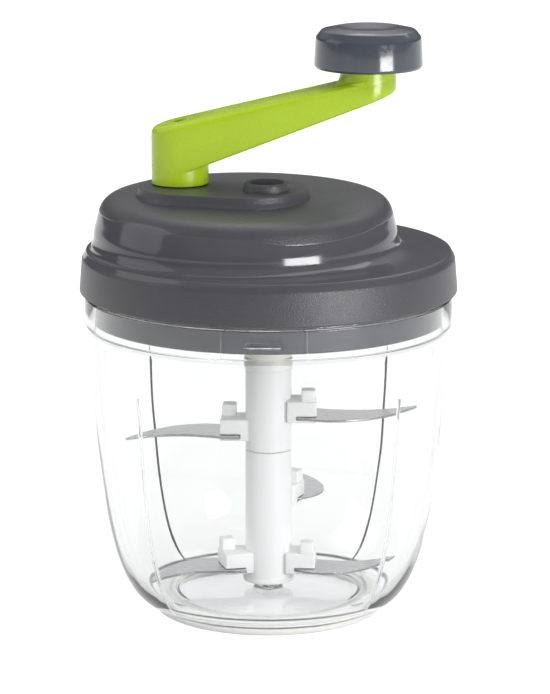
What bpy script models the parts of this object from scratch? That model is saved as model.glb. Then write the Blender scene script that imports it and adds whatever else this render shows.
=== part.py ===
"""Hand-cranked vegetable chopper: a clear bowl, a geared lid with a crank, and a lift-out set of five blades.

Lengths are in metres and +Z is up. The origin is on the bowl's axis, on the surface that the bowl stands on.
The crank points along +X at rest. The lid's gear train turns the blades faster than the crank, the other way.
"""
import math

import bmesh
import bpy
from mathutils import Matrix, Vector

MM = 0.001
NAME = "vegetable_chopper"

# Clearances and overruns
FIT_GAP = 0.3 * MM
RUNNING_GAP = 0.3 * MM
OVERRUN = 1.0 * MM
SINK = 0.5 * MM
WELD = 0.001 * MM

# Facets of the turned pieces
LARGE_STEPS = 36
MEDIUM_STEPS = 26
SMALL_STEPS = 16
TINY_STEPS = 8
FLAT_ANGLE = math.radians(0.5)
HEXAGON_TURN = math.radians(10)

# Bowl
BOWL_HEIGHT = 117.5 * MM
BOWL_WALL = 2.2 * MM
BOWL_BASE_RADIUS = 38.7 * MM
BOWL_FLOOR = 2.2 * MM
BOWL_UNDERSIDE = 3.0 * MM
NECK_RADIUS = 62.3 * MM
NECK_WALL = 2.5 * MM
NECK_STEP = 1.3 * MM
NECK_HEIGHT = 17.7 * MM
NECK_CHAMFER = 1.8 * MM
RIM_HEIGHT = 7.9 * MM
# Control points of the bowl's side, as shares of the way from base to neck in radius and in height
SIDE_LOW_SHARES = (0.73, 0.02)
SIDE_HIGH_SHARES = (0.888, 0.448)
SIDE_POINTS = 8

# Ribs inside the bowl, which stop the food turning with the blades
RIB_DEPTH = 1.1 * MM
RIB_WIDTH = 1.4 * MM
RIB_TOP = 82.0 * MM
RIB_TAPER = 9.0 * MM
RIB_ANGLE = math.radians(43)

# Lock bead on the front of the neck
BEAD_LENGTH = 12.5 * MM
BEAD_HEIGHT = 2.6 * MM
BEAD_RISE = 0.6 * MM
BEAD_OFFSET = -1.5 * MM

# Foot ring under the bowl
FOOT_HEIGHT = 2.0 * MM
FOOT_WIDTH = 6.2 * MM
FOOT_LIP = 0.3 * MM
FOOT_KEY_WIDTH = 2.0 * MM
FOOT_KEY_HEIGHT = 1.3 * MM
FOOT_EDGE = 0.4 * MM

# Pivot pin and its boss
PIN_RADIUS = 2.0 * MM
PIN_LENGTH = 17.0 * MM
PIN_TIP = 0.6 * MM
PIN_SEAT = 0.9 * MM
BOSS_RADIUS = 4.6 * MM
BOSS_HEIGHT = 2.6 * MM

# Lid cover
LID_WALL = 2.0 * MM
SKIRT_GAP = 1.0 * MM
SKIRT_DEPTH = 6.45 * MM
SHOULDER_RISE = 7.3 * MM
LID_TAPER = 2.3 * MM
CAP_RADIUS = 52.2 * MM
CAP_HEIGHT = 19.6 * MM
LEDGE_MIN = 1.8 * MM
COVER_SEAM = 1.6 * MM
# Cap outline from its crown out, as shares of the cap's radius and of its height over the ledge
CAP_SHARES = (
    (0.69, 0.977), (0.85, 0.923), (0.92, 0.811), (0.954, 0.622), (0.977, 0.383), (0.985, 0.224), (1.000, 0.10),
)
# Ledge from the cap's foot to the rim: shares of the way out, and of the cap's height
LEDGE_SHARES = ((0.12, 0.045), (0.38, 0.010), (0.75, 0.000))
# Skirt from the rim down: shares of its taper and of its height
SKIRT_SHARES = ((0.00, 0.995), (0.32, 0.93), (0.58, 0.80), (0.90, 0.38), (1.00, 0.00))

# Raised plate on the cap, round the crank hub and the feed port
PLATE_RISE = 2.5 * MM
PLATE_MARGIN = 4.0 * MM
PLATE_LEFT_RADIUS = 18.0 * MM
PLATE_LEFT_CORNER = (-25.7 * MM, -4.9 * MM)
PLATE_RIGHT_RADIUS = 20.6 * MM
PLATE_RIGHT_CORNER = (-7.2 * MM, -7.5 * MM)
PLATE_EDGE = 0.6 * MM
PLATE_DRAFT = 0.6 * MM

# Feed port for liquids
PORT_BACK = 12.0 * MM
PORT_SIDE = 0.7 * MM
PORT_RADIUS = 7.8 * MM
PORT_BORE = 5.5 * MM
PORT_RISE = 2.6 * MM
PORT_EDGE = 0.7 * MM
PORT_FUNNEL = 7.0 * MM
SPOUT_BORE = 3.0 * MM
SPOUT_WALL = 1.2 * MM
SPOUT_SHIFT = 1.2 * MM
SPOUT_DROP = 4.0 * MM

# Gear train
MODULE = 1.1 * MM
DRIVE_TEETH = 42
PINION_TEETH = 12
PRESSURE_ANGLE = math.radians(20)
DRIVE_ADDENDUM_SHARE = 0.75
PINION_ADDENDUM_SHARE = 1.0
ROOT_CLEARANCE = 0.35 * MM
BACKLASH = 0.5 * MM
FLANK_POINTS = 2
GEAR_WIDTH = 7.0 * MM
PINION_WIDTH = 7.6 * MM
WEB_RECESS = 2.4 * MM
GEAR_RIM = 2.6 * MM
WEB_HOLES = 6
WEB_HOLE_RADIUS = 3.6 * MM
DRIVE_SPINDLE_RADIUS = 5.2 * MM
DRIVE_SQUARE = 7.2 * MM
DRIVE_SQUARE_LENGTH = 13.0 * MM
DRIVE_JOURNAL_RADIUS = 4.0 * MM
PINION_SHOULDER = 0.425 * MM
PINION_TOP_RADIUS = 2.6 * MM
PINION_TOP_LENGTH = 3.0 * MM

# Lid base: the gear floor and the plug that enters the bowl
PLUG_GAP = 0.4 * MM
PLUG_DEPTH = 16.2 * MM
PLUG_WALL = 2.2 * MM
PLUG_CHAMFER = 0.8 * MM
FLOOR_THICKNESS = 1.8 * MM
FLOOR_EDGE_GAP = 0.5 * MM
SLEEVE_WALL = 3.1 * MM
SLEEVE_DEPTH = 15.2 * MM
BEARING_WALL = 2.7 * MM
BEARING_RISE = 2.7 * MM
BRACE_COUNT = 6
BRACE_WIDTH = 1.4 * MM
BRACE_DEPTH = 8.0 * MM

# Seal ring over the bowl's rim
SEAL_THICKNESS = 1.4 * MM
SEAL_WIDTH = 1.5 * MM
SEAL_BEAD = 0.25 * MM

# Screws that hold the lid base to the cover
SCREW_HEAD_RADIUS = 2.8 * MM
SCREW_HEAD_HEIGHT = 2.0 * MM
SCREW_SHANK_RADIUS = 1.1 * MM
SCREW_LENGTH = 11.0 * MM
SCREW_BOSS_RADIUS = 3.6 * MM
RIGHT_SCREW = (28.0 * MM, 24.0 * MM)
LEFT_SCREW = (-42.0 * MM, 24.5 * MM)

# Drive socket under the lid
SOCKET_RADIUS = 8.2 * MM
SOCKET_LENGTH = 17.4 * MM
SOCKET_MOUTH = 7.2 * MM
SOCKET_EDGE = 0.6 * MM
STUB_FLATS = 7.4 * MM
SOCKET_SCREW_HEAD_RADIUS = 3.2 * MM
SOCKET_SCREW_HEAD_HEIGHT = 1.8 * MM
SOCKET_SCREW_LENGTH = 9.0 * MM

# Crank arm
CRANK_RADIUS = 63.1 * MM
HUB_RADIUS = 9.4 * MM
ARM_WIDTH = 19.3 * MM
ARM_EDGE = 2.0 * MM
HUB_TOP = 21.2 * MM
HUB_UNDERCUT = 3.9 * MM
ARM_END_TOP = 35.9 * MM
ARM_END_BOTTOM = 27.8 * MM
POST_RADIUS = 9.1 * MM
POST_TOP = 38.8 * MM
POST_FILLET = 2.2 * MM
CRANK_SCREW_RECESS = 2.3 * MM
CRANK_SCREW_HEAD_RADIUS = 1.9 * MM
CRANK_SCREW_HEAD_HEIGHT = 1.6 * MM
CRANK_SCREW_SHANK_RADIUS = 0.9 * MM
CRANK_SCREW_GRIP = 2.4 * MM
CRANK_SCREW_LENGTH = 11.0 * MM

# Knob
KNOB_RADIUS = 18.2 * MM
KNOB_HEIGHT = 13.7 * MM
KNOB_WALL = 2.2 * MM
KNOB_DISH = 1.5 * MM
KNOB_SPINDLE_RADIUS = 3.6 * MM
KNOB_SPINDLE_LENGTH = 8.2 * MM
KNOB_POCKET_RADIUS = 6.4 * MM
KNOB_POCKET_DEPTH = 7.4 * MM
KNOB_SCREW_HEAD_RADIUS = 4.7 * MM
KNOB_SCREW_HEAD_HEIGHT = 1.6 * MM
KNOB_SCREW_SHANK_RADIUS = 1.3 * MM
KNOB_SCREW_LENGTH = 8.0 * MM
# Knob outline from the dish's rim down, as shares of its radius and of its height
KNOB_SHARES = (
    (0.60, 1.00), (0.70, 0.985), (0.82, 0.90), (0.935, 0.765), (0.980, 0.67), (1.000, 0.30), (0.975, 0.00),
)
# Dish on the knob's top: shares of its rim radius and of its depth
DISH_SHARES = ((0.40, 0.92), (0.72, 0.58), (0.92, 0.14))

# Blade shaft, in two pieces that plug together
SHAFT_RADIUS = 7.9 * MM
SHAFT_SEAM = 55.0 * MM
COLLAR_RADIUS = 8.35 * MM
COLLAR_HEIGHT = 2.7 * MM
COLLAR_EDGE = 0.6 * MM
FLANGE_RADIUS = 8.7 * MM
FLANGE_HEIGHT = 1.4 * MM
SPINDLE_FLATS = 9.0 * MM
SPINDLE_HEIGHT = 5.0 * MM
JOINT_STUB_FLATS = 10.0 * MM
JOINT_STUB_LENGTH = 9.0 * MM

# Blades and their holders
BLADE_THICKNESS = 0.9 * MM
BLADE_ROOT = 9.6 * MM
BLADE_POINTS = 9
BLADE_EDGE = 1.3 * MM
HOLDER_REACH = 16.4 * MM
HOLDER_FRONT = 7.0 * MM
HOLDER_BACK = 4.6 * MM
HOLDER_BELOW = 1.7 * MM
HOLDER_ABOVE = 5.8 * MM
HOLDER_EDGE = 0.5 * MM
HOLDER_POST_TOP = 9.8 * MM
HOLDER_POST_WIDTH = 4.8 * MM
HOLDER_POST_SETBACK = 0.4 * MM
TIP_CLEARANCE = 0.6 * MM
# Each blade: height, azimuth, share of the free radius that its tip reaches, shaft piece that holds it
BLADES = (
    (67.2 * MM, math.radians(0), 0.95, "upper"),
    (60.2 * MM, math.radians(177), 0.895, "upper"),
    (35.0 * MM, math.radians(68), 0.90, "lower"),
    (13.5 * MM, math.radians(-4), 1.0, "lower"),
    (13.5 * MM, math.radians(196), 1.0, "lower"),
)
# Blade outline: shares of the tip's reach and of the widest half width, along the cutting edge then the back
CUTTING_SHARES = ((0.40, -1.62), (0.75, -1.14), (0.98, 1.0))
BACK_SHARES = ((0.98, 1.0), (0.82, 0.48), (0.59, 0.05), (0.30, 0.67))
ROOT_SHARE = -0.62
BLADE_HALF_WIDTH = 10.4 * MM

# Heights and radii that follow from the sizes above
FLOOR_TOP = BOWL_UNDERSIDE + BOWL_FLOOR
NECK_BOTTOM = BOWL_HEIGHT - NECK_HEIGHT
NECK_BORE = NECK_RADIUS - NECK_WALL
RIM_RADIUS = NECK_RADIUS - NECK_STEP
SIDE_RADIUS = NECK_RADIUS - NECK_STEP
SIDE_TOP = NECK_BOTTOM - NECK_CHAMFER
PLUG_RADIUS = NECK_BORE - PLUG_GAP
LID_RADIUS = RIM_RADIUS + SKIRT_GAP + LID_WALL
SKIRT_BOTTOM = BOWL_HEIGHT - SKIRT_DEPTH
LEDGE_HEIGHT = BOWL_HEIGHT + SHOULDER_RISE
LEDGE_RADIUS = LID_RADIUS - LID_TAPER
CAP_OFFSET = LEDGE_RADIUS - CAP_RADIUS - LEDGE_MIN
CAP_TOP = LEDGE_HEIGHT + CAP_HEIGHT
PLATE_TOP = CAP_TOP + PLATE_RISE
SEAL_BOTTOM = BOWL_HEIGHT + FIT_GAP
GEAR_FLOOR_BOTTOM = SEAL_BOTTOM + SEAL_THICKNESS + FIT_GAP
GEAR_FLOOR_TOP = GEAR_FLOOR_BOTTOM + FLOOR_THICKNESS
BEARING_TOP = GEAR_FLOOR_TOP + BEARING_RISE
GEAR_BOTTOM = BEARING_TOP + RUNNING_GAP
GEAR_TOP = GEAR_BOTTOM + GEAR_WIDTH
PINION_TOP = GEAR_BOTTOM + PINION_WIDTH
CRANK_AXIS = MODULE * (DRIVE_TEETH + PINION_TEETH) / 2
PINION_ROOT = MODULE * PINION_TEETH / 2 - DRIVE_ADDENDUM_SHARE * MODULE - ROOT_CLEARANCE
PINION_SHAFT_RADIUS = PINION_ROOT - PINION_SHOULDER
HUB_BASE = PLATE_TOP + RUNNING_GAP
SLEEVE_BOTTOM = GEAR_FLOOR_BOTTOM - SLEEVE_DEPTH
SOCKET_TOP = SLEEVE_BOTTOM - RUNNING_GAP
SOCKET_BOTTOM = SOCKET_TOP - SOCKET_LENGTH
SHAFT_TOP = SOCKET_BOTTOM - RUNNING_GAP
BOSS_TOP = FLOOR_TOP + BOSS_HEIGHT
SHAFT_BOTTOM = BOSS_TOP + RUNNING_GAP
KNOB_BASE = HUB_BASE + POST_TOP + RUNNING_GAP
KNOB_X = CRANK_RADIUS - CRANK_AXIS
SPOUT_Y = -PORT_BACK - SPOUT_SHIFT


def clear_scene():
    for obj in list(bpy.data.objects):
        bpy.data.objects.remove(obj, do_unlink=True)


def new_collection(name):
    collection = bpy.data.collections.new(name)
    bpy.context.scene.collection.children.link(collection)
    return collection


def new_material(name, colour, roughness, metallic=0.0, transmission=0.0):
    material = bpy.data.materials.new(name)
    material.use_nodes = True
    shader = material.node_tree.nodes["Principled BSDF"]
    shader.inputs["Base Color"].default_value = (*colour, 1.0)
    shader.inputs["Roughness"].default_value = roughness
    shader.inputs["Metallic"].default_value = metallic
    shader.inputs["Transmission Weight"].default_value = transmission
    material.diffuse_color = (*colour, 1.0)
    return material


# Shapes

def add_object(name, mesh, location=(0, 0, 0)):
    obj = bpy.data.objects.new(name, mesh)
    PARTS.objects.link(obj)
    obj.location = location
    return obj


def mesh_object(name, bm, location=(0, 0, 0)):
    mesh = bpy.data.meshes.new(name)
    bm.to_mesh(mesh)
    bm.free()
    return add_object(name, mesh, location)


def turned(name, profile, location=(0, 0, 0), steps=MEDIUM_STEPS, ring=False):
    """A turned solid. The profile of (radius, height) points runs down its outer side; a ring's is closed."""
    bm = bmesh.new()
    verts = [bm.verts.new((radius, 0, height)) for radius, height in profile]
    for first, second in zip(verts, verts[1:]):
        bm.edges.new((first, second))
    if ring:
        bm.edges.new((verts[-1], verts[0]))
    obj = mesh_object(name, bm, location)
    screw = obj.modifiers.new("turn", "SCREW")
    screw.steps = steps
    screw.render_steps = steps
    screw.use_merge_vertices = True
    screw.merge_threshold = WELD
    screw.use_smooth_shade = True
    return obj


def cylinder(name, radius, bottom, top, location=(0, 0, 0), steps=SMALL_STEPS, top_radius=None):
    bm = bmesh.new()
    upper = radius if top_radius is None else top_radius
    bmesh.ops.create_cone(
        bm, cap_ends=True, segments=steps, radius1=radius, radius2=upper, depth=top - bottom,
        matrix=Matrix.Translation((0, 0, (top + bottom) / 2)),
    )
    return mesh_object(name, bm, location)


def stepped_bore(name, location, steps):
    """A cutter for a bore in steps, from the top down: radius, top and bottom of each."""
    profile = [(0, steps[0][1])]
    for radius, top, bottom in steps:
        profile += [(radius, top), (radius, bottom)]
    profile.append((0, steps[-1][2]))
    return turned(name, profile, location, steps=SMALL_STEPS)


def hexagon(name, flats, bottom, top, location=(0, 0, 0)):
    """A six-sided bar, measured across its flats."""
    bar = cylinder(name, flats / math.sqrt(3), bottom, top, location, steps=6)
    bar.rotation_euler = (0, 0, HEXAGON_TURN)
    return bar


def box(name, low, high, location=(0, 0, 0)):
    bm = bmesh.new()
    size = Vector(high) - Vector(low)
    middle = (Vector(high) + Vector(low)) / 2
    bmesh.ops.create_cube(bm, size=1, matrix=Matrix.Translation(middle) @ Matrix.Diagonal((*size, 1)))
    return mesh_object(name, bm, location)


def hull(name, points, location=(0, 0, 0)):
    """The solid that wraps the points."""
    bm = bmesh.new()
    verts = [bm.verts.new(point) for point in points]
    wrapped = bmesh.ops.convex_hull(bm, input=verts)
    inner = [item for item in wrapped["geom_interior"] if isinstance(item, bmesh.types.BMVert)]
    bmesh.ops.delete(bm, geom=inner, context="VERTS")
    bmesh.ops.recalc_face_normals(bm, faces=bm.faces)
    bmesh.ops.dissolve_limit(bm, angle_limit=FLAT_ANGLE, verts=bm.verts, edges=bm.edges)
    return mesh_object(name, bm, location)


def plate(name, outlines, bottom, top, location=(0, 0, 0)):
    """A flat piece: closed outlines in X and Y, filled and extruded from bottom to top."""
    curve = bpy.data.curves.new(name, "CURVE")
    curve.dimensions = "2D"
    curve.fill_mode = "BOTH"
    curve.extrude = (top - bottom) / 2
    for outline in outlines:
        spline = curve.splines.new("POLY")
        spline.points.add(len(outline) - 1)
        for point, (x, y) in zip(spline.points, outline):
            point.co = (x, y, 0, 1)
        spline.use_cyclic_u = True
    drawn = bpy.data.objects.new(name + "_outline", curve)
    bpy.context.scene.collection.objects.link(drawn)
    depsgraph = bpy.context.evaluated_depsgraph_get()
    mesh = bpy.data.meshes.new_from_object(drawn.evaluated_get(depsgraph))
    mesh.transform(Matrix.Translation((0, 0, (top + bottom) / 2)))
    bm = bmesh.new()
    bm.from_mesh(mesh)
    bmesh.ops.remove_doubles(bm, verts=bm.verts, dist=WELD)
    bmesh.ops.dissolve_limit(bm, angle_limit=FLAT_ANGLE, verts=bm.verts, edges=bm.edges)
    bmesh.ops.recalc_face_normals(bm, faces=bm.faces)
    bm.to_mesh(mesh)
    bm.free()
    bpy.data.objects.remove(drawn, do_unlink=True)
    return add_object(name, mesh, location)


def circle(radius, steps, x=0.0, y=0.0, z=0.0):
    turn = 2 * math.pi / steps
    return [Vector((x + radius * math.cos(i * turn), y + radius * math.sin(i * turn), z)) for i in range(steps)]


def bezier(start, first, second, end, count):
    """Points along a cubic curve between two (x, y) points, ends included."""
    points = []
    for i in range(count):
        t = i / (count - 1)
        weights = ((1 - t) ** 3, 3 * t * (1 - t) ** 2, 3 * t * t * (1 - t), t ** 3)
        points.append(tuple(
            sum(w * p[axis] for w, p in zip(weights, (start, first, second, end))) for axis in (0, 1)
        ))
    return points


def merge(target, *tools):
    """Joins tools to the target as one body."""
    for tool in tools:
        combine(target, tool, "UNION")
    return target


def cut(target, *tools):
    """Takes the tools' space out of the target."""
    for tool in tools:
        combine(target, tool, "DIFFERENCE")
    return target


def combine(target, tool, operation):
    PARTS.objects.unlink(tool)
    CUTTERS.objects.link(tool)
    tool.hide_render = True
    tool.display_type = "WIRE"
    boolean = target.modifiers.new(tool.name, "BOOLEAN")
    boolean.operation = operation
    boolean.solver = "EXACT"
    boolean.object = tool


def round_edges(obj, width, segments=2, angle=40):
    bevel = obj.modifiers.new("round_edges", "BEVEL")
    bevel.width = width
    bevel.segments = segments
    bevel.limit_method = "ANGLE"
    bevel.angle_limit = math.radians(angle)
    return obj


def finish(obj, material, parent=None):
    """Gives a piece its material and, without moving it, its parent."""
    obj.data.materials.append(material)
    for polygon in obj.data.polygons:
        polygon.use_smooth = True
    if len(obj.data.polygons):
        obj.data.set_sharp_from_angle(angle=math.radians(30))
    if parent is not None:
        hang_from(obj, parent)
    return obj


def hang_from(obj, parent):
    """Parents a piece or a pivot and leaves it where it is."""
    above = parent
    while above is not None:
        obj.location = Vector(obj.location) - Vector(above.location)
        above = above.parent
    obj.parent = parent


def add_pivot(name, location, parent=None):
    """An empty on a joint's axis, which the pieces that turn or slide together hang from."""
    pivot = bpy.data.objects.new(name, None)
    pivot.empty_display_size = FLANGE_RADIUS
    PARTS.objects.link(pivot)
    pivot.location = location
    if parent is not None:
        hang_from(pivot, parent)
    return pivot


# Bowl, foot ring and pivot pin

def side_curve(inset, base_height):
    """The bowl's side, from base to neck, drawn in by the inset."""
    span = SIDE_RADIUS - BOWL_BASE_RADIUS
    rise = SIDE_TOP - FOOT_HEIGHT
    base = (BOWL_BASE_RADIUS - inset, base_height)
    low = (BOWL_BASE_RADIUS + SIDE_LOW_SHARES[0] * span - inset,
           max(base_height, FOOT_HEIGHT + SIDE_LOW_SHARES[1] * rise))
    high = (BOWL_BASE_RADIUS + SIDE_HIGH_SHARES[0] * span - inset, FOOT_HEIGHT + SIDE_HIGH_SHARES[1] * rise)
    return bezier(base, low, high, (SIDE_RADIUS - inset, SIDE_TOP), SIDE_POINTS)


def inner_radius(height):
    """The bowl's inner radius at a height."""
    wall = side_curve(BOWL_WALL, FLOOR_TOP)
    for (low_radius, low), (high_radius, high) in zip(wall, wall[1:]):
        if low <= height <= high:
            return low_radius + (high_radius - low_radius) * (height - low) / (high - low)
    return SIDE_RADIUS - BOWL_WALL


def make_bowl():
    outside = side_curve(0.0, FOOT_HEIGHT)
    inside = side_curve(BOWL_WALL, FLOOR_TOP)
    key_middle = BOWL_BASE_RADIUS + FOOT_LIP - FOOT_WIDTH / 2
    groove = FOOT_KEY_WIDTH / 2 + FIT_GAP
    groove_top = FOOT_HEIGHT + FOOT_KEY_HEIGHT
    recess_radius = BOWL_BASE_RADIUS - FOOT_WIDTH
    profile = [
        (0, FLOOR_TOP), *inside, (NECK_BORE, NECK_BOTTOM), (NECK_BORE, BOWL_HEIGHT),
        (RIM_RADIUS, BOWL_HEIGHT), (RIM_RADIUS, BOWL_HEIGHT - RIM_HEIGHT),
        (NECK_RADIUS, BOWL_HEIGHT - RIM_HEIGHT), (NECK_RADIUS, NECK_BOTTOM),
        *reversed(outside),
        (key_middle + groove, FOOT_HEIGHT), (key_middle + groove, groove_top),
        (key_middle - groove, groove_top), (key_middle - groove, FOOT_HEIGHT),
        (recess_radius, FOOT_HEIGHT), (recess_radius - BOWL_FLOOR / 2, BOWL_UNDERSIDE), (0, BOWL_UNDERSIDE),
    ]
    bowl = turned("bowl", profile, steps=LARGE_STEPS)
    merge(bowl, cylinder("bowl_boss", BOSS_RADIUS, FLOOR_TOP - SINK, BOSS_TOP, steps=SMALL_STEPS))
    for i, angle in enumerate((RIB_ANGLE, math.pi - RIB_ANGLE, math.pi + RIB_ANGLE, -RIB_ANGLE)):
        merge(bowl, make_bowl_rib("bowl_rib_%d" % (i + 1), angle))
    merge(bowl, make_bead())
    cut(bowl, cylinder("pin_bore", PIN_RADIUS + FIT_GAP, FLOOR_TOP - PIN_SEAT - FIT_GAP, BOSS_TOP + OVERRUN))
    return finish(bowl, CLEAR)


def make_bowl_rib(name, angle):
    """A fin on the wall's inside, from the floor up to a tapered tip."""
    wall = [point for point in side_curve(BOWL_WALL, FLOOR_TOP) if point[1] < RIB_TOP - RIB_TAPER]
    wall.append((inner_radius(RIB_TOP - RIB_TAPER), RIB_TOP - RIB_TAPER))
    seat = BOWL_WALL / 2
    back = [(radius + seat, height - (seat if i == 0 else 0)) for i, (radius, height) in enumerate(wall)]
    tip = (inner_radius(RIB_TOP) + seat, RIB_TOP)
    front = [(radius - RIB_DEPTH, height + (RIB_DEPTH if i == 0 else 0)) for i, (radius, height) in enumerate(wall)]
    toe = (wall[0][0] - RIB_DEPTH, wall[0][1] - seat)
    rib = plate(name, [[*back, tip, *reversed(front), toe]], -RIB_WIDTH / 2, RIB_WIDTH / 2)
    rib.data.transform(Matrix.Rotation(math.pi / 2, 4, "X"))
    rib.rotation_euler = (0, 0, angle)
    return rib


def make_bead():
    half = (BEAD_LENGTH - BEAD_HEIGHT) / 2
    height = BOWL_HEIGHT - RIM_HEIGHT - (NECK_HEIGHT - RIM_HEIGHT) / 2
    face = -NECK_RADIUS - BEAD_RISE
    points = []
    for side in (-half, half):
        for depth, radius in ((face, BEAD_HEIGHT / 2 - BEAD_RISE / 2), (face + BEAD_RISE + SINK, BEAD_HEIGHT / 2)):
            ring = circle(radius, TINY_STEPS)
            points += [Vector((BEAD_OFFSET + side + p.x, depth, height + p.y)) for p in ring]
    return hull("lock_bead", points)


def make_foot_ring():
    outer = BOWL_BASE_RADIUS + FOOT_LIP
    inner = outer - FOOT_WIDTH
    middle = (outer + inner) / 2
    top = FOOT_HEIGHT - FIT_GAP
    key = FOOT_KEY_WIDTH / 2
    profile = [
        (middle + key, top + FOOT_KEY_HEIGHT), (middle + key, top), (outer - FOOT_EDGE, top),
        (outer, top - FOOT_EDGE), (outer, FOOT_EDGE), (outer - FOOT_EDGE, 0), (inner, 0),
        (inner, top), (middle - key, top), (middle - key, top + FOOT_KEY_HEIGHT),
    ]
    return finish(turned("foot_ring", profile, steps=LARGE_STEPS, ring=True), SILICONE)


def make_pivot_pin():
    bottom = FLOOR_TOP - PIN_SEAT
    top = bottom + PIN_LENGTH
    profile = [
        (0, top), (PIN_RADIUS - PIN_TIP, top), (PIN_RADIUS, top - PIN_TIP), (PIN_RADIUS, bottom + PIN_TIP / 2),
        (PIN_RADIUS - PIN_TIP / 2, bottom), (0, bottom),
    ]
    return finish(turned("pivot_pin", profile, steps=SMALL_STEPS), STEEL)


# Lid

def cover_rings():
    """Rings of the cover's outside, from the cap's crown to the skirt's foot: centre x, radius, height."""
    rings = [(-CAP_OFFSET, r * CAP_RADIUS, LEDGE_HEIGHT + z * CAP_HEIGHT) for r, z in CAP_SHARES]
    for out, z in LEDGE_SHARES:
        radius = CAP_RADIUS + out * (LEDGE_RADIUS - CAP_RADIUS)
        rings.append((-CAP_OFFSET * (1 - out), radius, LEDGE_HEIGHT + z * CAP_HEIGHT))
    for out, z in SKIRT_SHARES:
        rings.append((0, LEDGE_RADIUS + out * LID_TAPER, SKIRT_BOTTOM + z * (LEDGE_HEIGHT - SKIRT_BOTTOM)))
    return rings


def cover_shell(name):
    """The cover's wall from the crown to the skirt's foot."""
    bm = bmesh.new()
    crown = bm.verts.new((-CAP_OFFSET, 0, CAP_TOP))
    rows = [[bm.verts.new(p) for p in circle(r, LARGE_STEPS, x=x, z=z)] for x, r, z in cover_rings()]
    for i in range(LARGE_STEPS):
        j = (i + 1) % LARGE_STEPS
        bm.faces.new((crown, rows[0][i], rows[0][j]))
        for upper, lower in zip(rows, rows[1:]):
            bm.faces.new((upper[i], lower[i], lower[j], upper[j]))
    shell = mesh_object(name, bm)
    wall = shell.modifiers.new("wall", "SOLIDIFY")
    wall.thickness = LID_WALL
    wall.offset = -1
    return shell


def make_lid_ring():
    """The cover's ledge and skirt, which the cap stands on."""
    ring = cover_shell("lid_ring")
    reach = LID_RADIUS + OVERRUN
    cut(ring, box("above_ring", (-reach, -reach, LEDGE_HEIGHT + COVER_SEAM), (reach, reach, CAP_TOP + OVERRUN)))
    return finish(ring, LID_GREY, LID_PIVOT)


def make_lid_cover():
    """The domed cap, with the plate, the feed port and the bosses that hold the train."""
    cover = cover_shell("lid_cover")
    reach = LID_RADIUS + OVERRUN
    seam = LEDGE_HEIGHT + COVER_SEAM + FIT_GAP
    cut(cover, box("below_cap", (-reach, -reach, SKIRT_BOTTOM - OVERRUN), (reach, reach, seam)))
    merge(cover, make_hub_plate())
    inside = CAP_TOP - LID_WALL / 2
    boss_bottom = GEAR_TOP + RUNNING_GAP
    spindle_bore = DRIVE_SPINDLE_RADIUS + RUNNING_GAP
    merge(
        cover,
        cylinder("port_ring", PORT_RADIUS, PLATE_TOP - SINK, PLATE_TOP + PORT_RISE,
                 (-PORT_SIDE, -PORT_BACK, 0), steps=MEDIUM_STEPS, top_radius=PORT_RADIUS - PORT_EDGE / 2),
        cylinder("crank_boss", spindle_bore + BEARING_WALL, boss_bottom, inside, (-CRANK_AXIS, 0, 0)),
        cylinder("pinion_boss", PINION_TOP_RADIUS + RUNNING_GAP + BEARING_WALL / 2,
                 PINION_TOP + RUNNING_GAP, inside),
        cylinder("spout", SPOUT_BORE + SPOUT_WALL, GEAR_FLOOR_BOTTOM - SPOUT_DROP, inside,
                 (-PORT_SIDE, SPOUT_Y, 0)),
    )
    for i, (x, y) in enumerate(screw_places()):
        merge(cover, cylinder("screw_boss_%d" % (i + 1), SCREW_BOSS_RADIUS, GEAR_FLOOR_TOP + FIT_GAP,
                              boss_ceiling(x, y), (x, y, 0), steps=TINY_STEPS))
    cut(
        cover,
        make_port_bore(),
        cylinder("spindle_bore", spindle_bore, boss_bottom - OVERRUN, PLATE_TOP + OVERRUN, (-CRANK_AXIS, 0, 0)),
        cylinder("pinion_top_bore", PINION_TOP_RADIUS + RUNNING_GAP, PINION_TOP - OVERRUN,
                 PINION_TOP + PINION_TOP_LENGTH + RUNNING_GAP),
    )
    for i, (x, y) in enumerate(screw_places()):
        cut(cover, cylinder("screw_bore_%d" % (i + 1), SCREW_SHANK_RADIUS + FIT_GAP, GEAR_FLOOR_BOTTOM,
                            GEAR_FLOOR_BOTTOM + SCREW_LENGTH, (x, y, 0), steps=TINY_STEPS))
    return finish(cover, LID_GREY, LID_PIVOT)


def boss_ceiling(x, y):
    """Half way through the cap's shell over a screw boss."""
    reach = (math.hypot(x + CAP_OFFSET, y) + SCREW_BOSS_RADIUS) / CAP_RADIUS
    outline = ((0, 1), *CAP_SHARES)
    share = outline[-1][1]
    for (near, high), (far, low) in zip(outline, outline[1:]):
        if near <= reach <= far:
            share = high + (low - high) * (reach - near) / (far - near)
    return LEDGE_HEIGHT + share * CAP_HEIGHT - LID_WALL / 2


def make_hub_plate():
    """The raised plate: a drafted hull round the crank hub and two front corners."""
    corners = (
        ((-CRANK_AXIS, 0), HUB_RADIUS + PLATE_MARGIN),
        (PLATE_LEFT_CORNER, PLATE_LEFT_RADIUS),
        (PLATE_RIGHT_CORNER, PLATE_RIGHT_RADIUS),
    )
    points = []
    for (x, y), radius in corners:
        low = circle(radius + PLATE_DRAFT, SMALL_STEPS, x, y, CAP_TOP - LID_WALL)
        middle = circle(radius, SMALL_STEPS, x, y, PLATE_TOP - PLATE_EDGE)
        high = circle(radius - PLATE_EDGE, SMALL_STEPS, x, y, PLATE_TOP)
        points += low + middle + high
    return hull("hub_plate", points)


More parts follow.
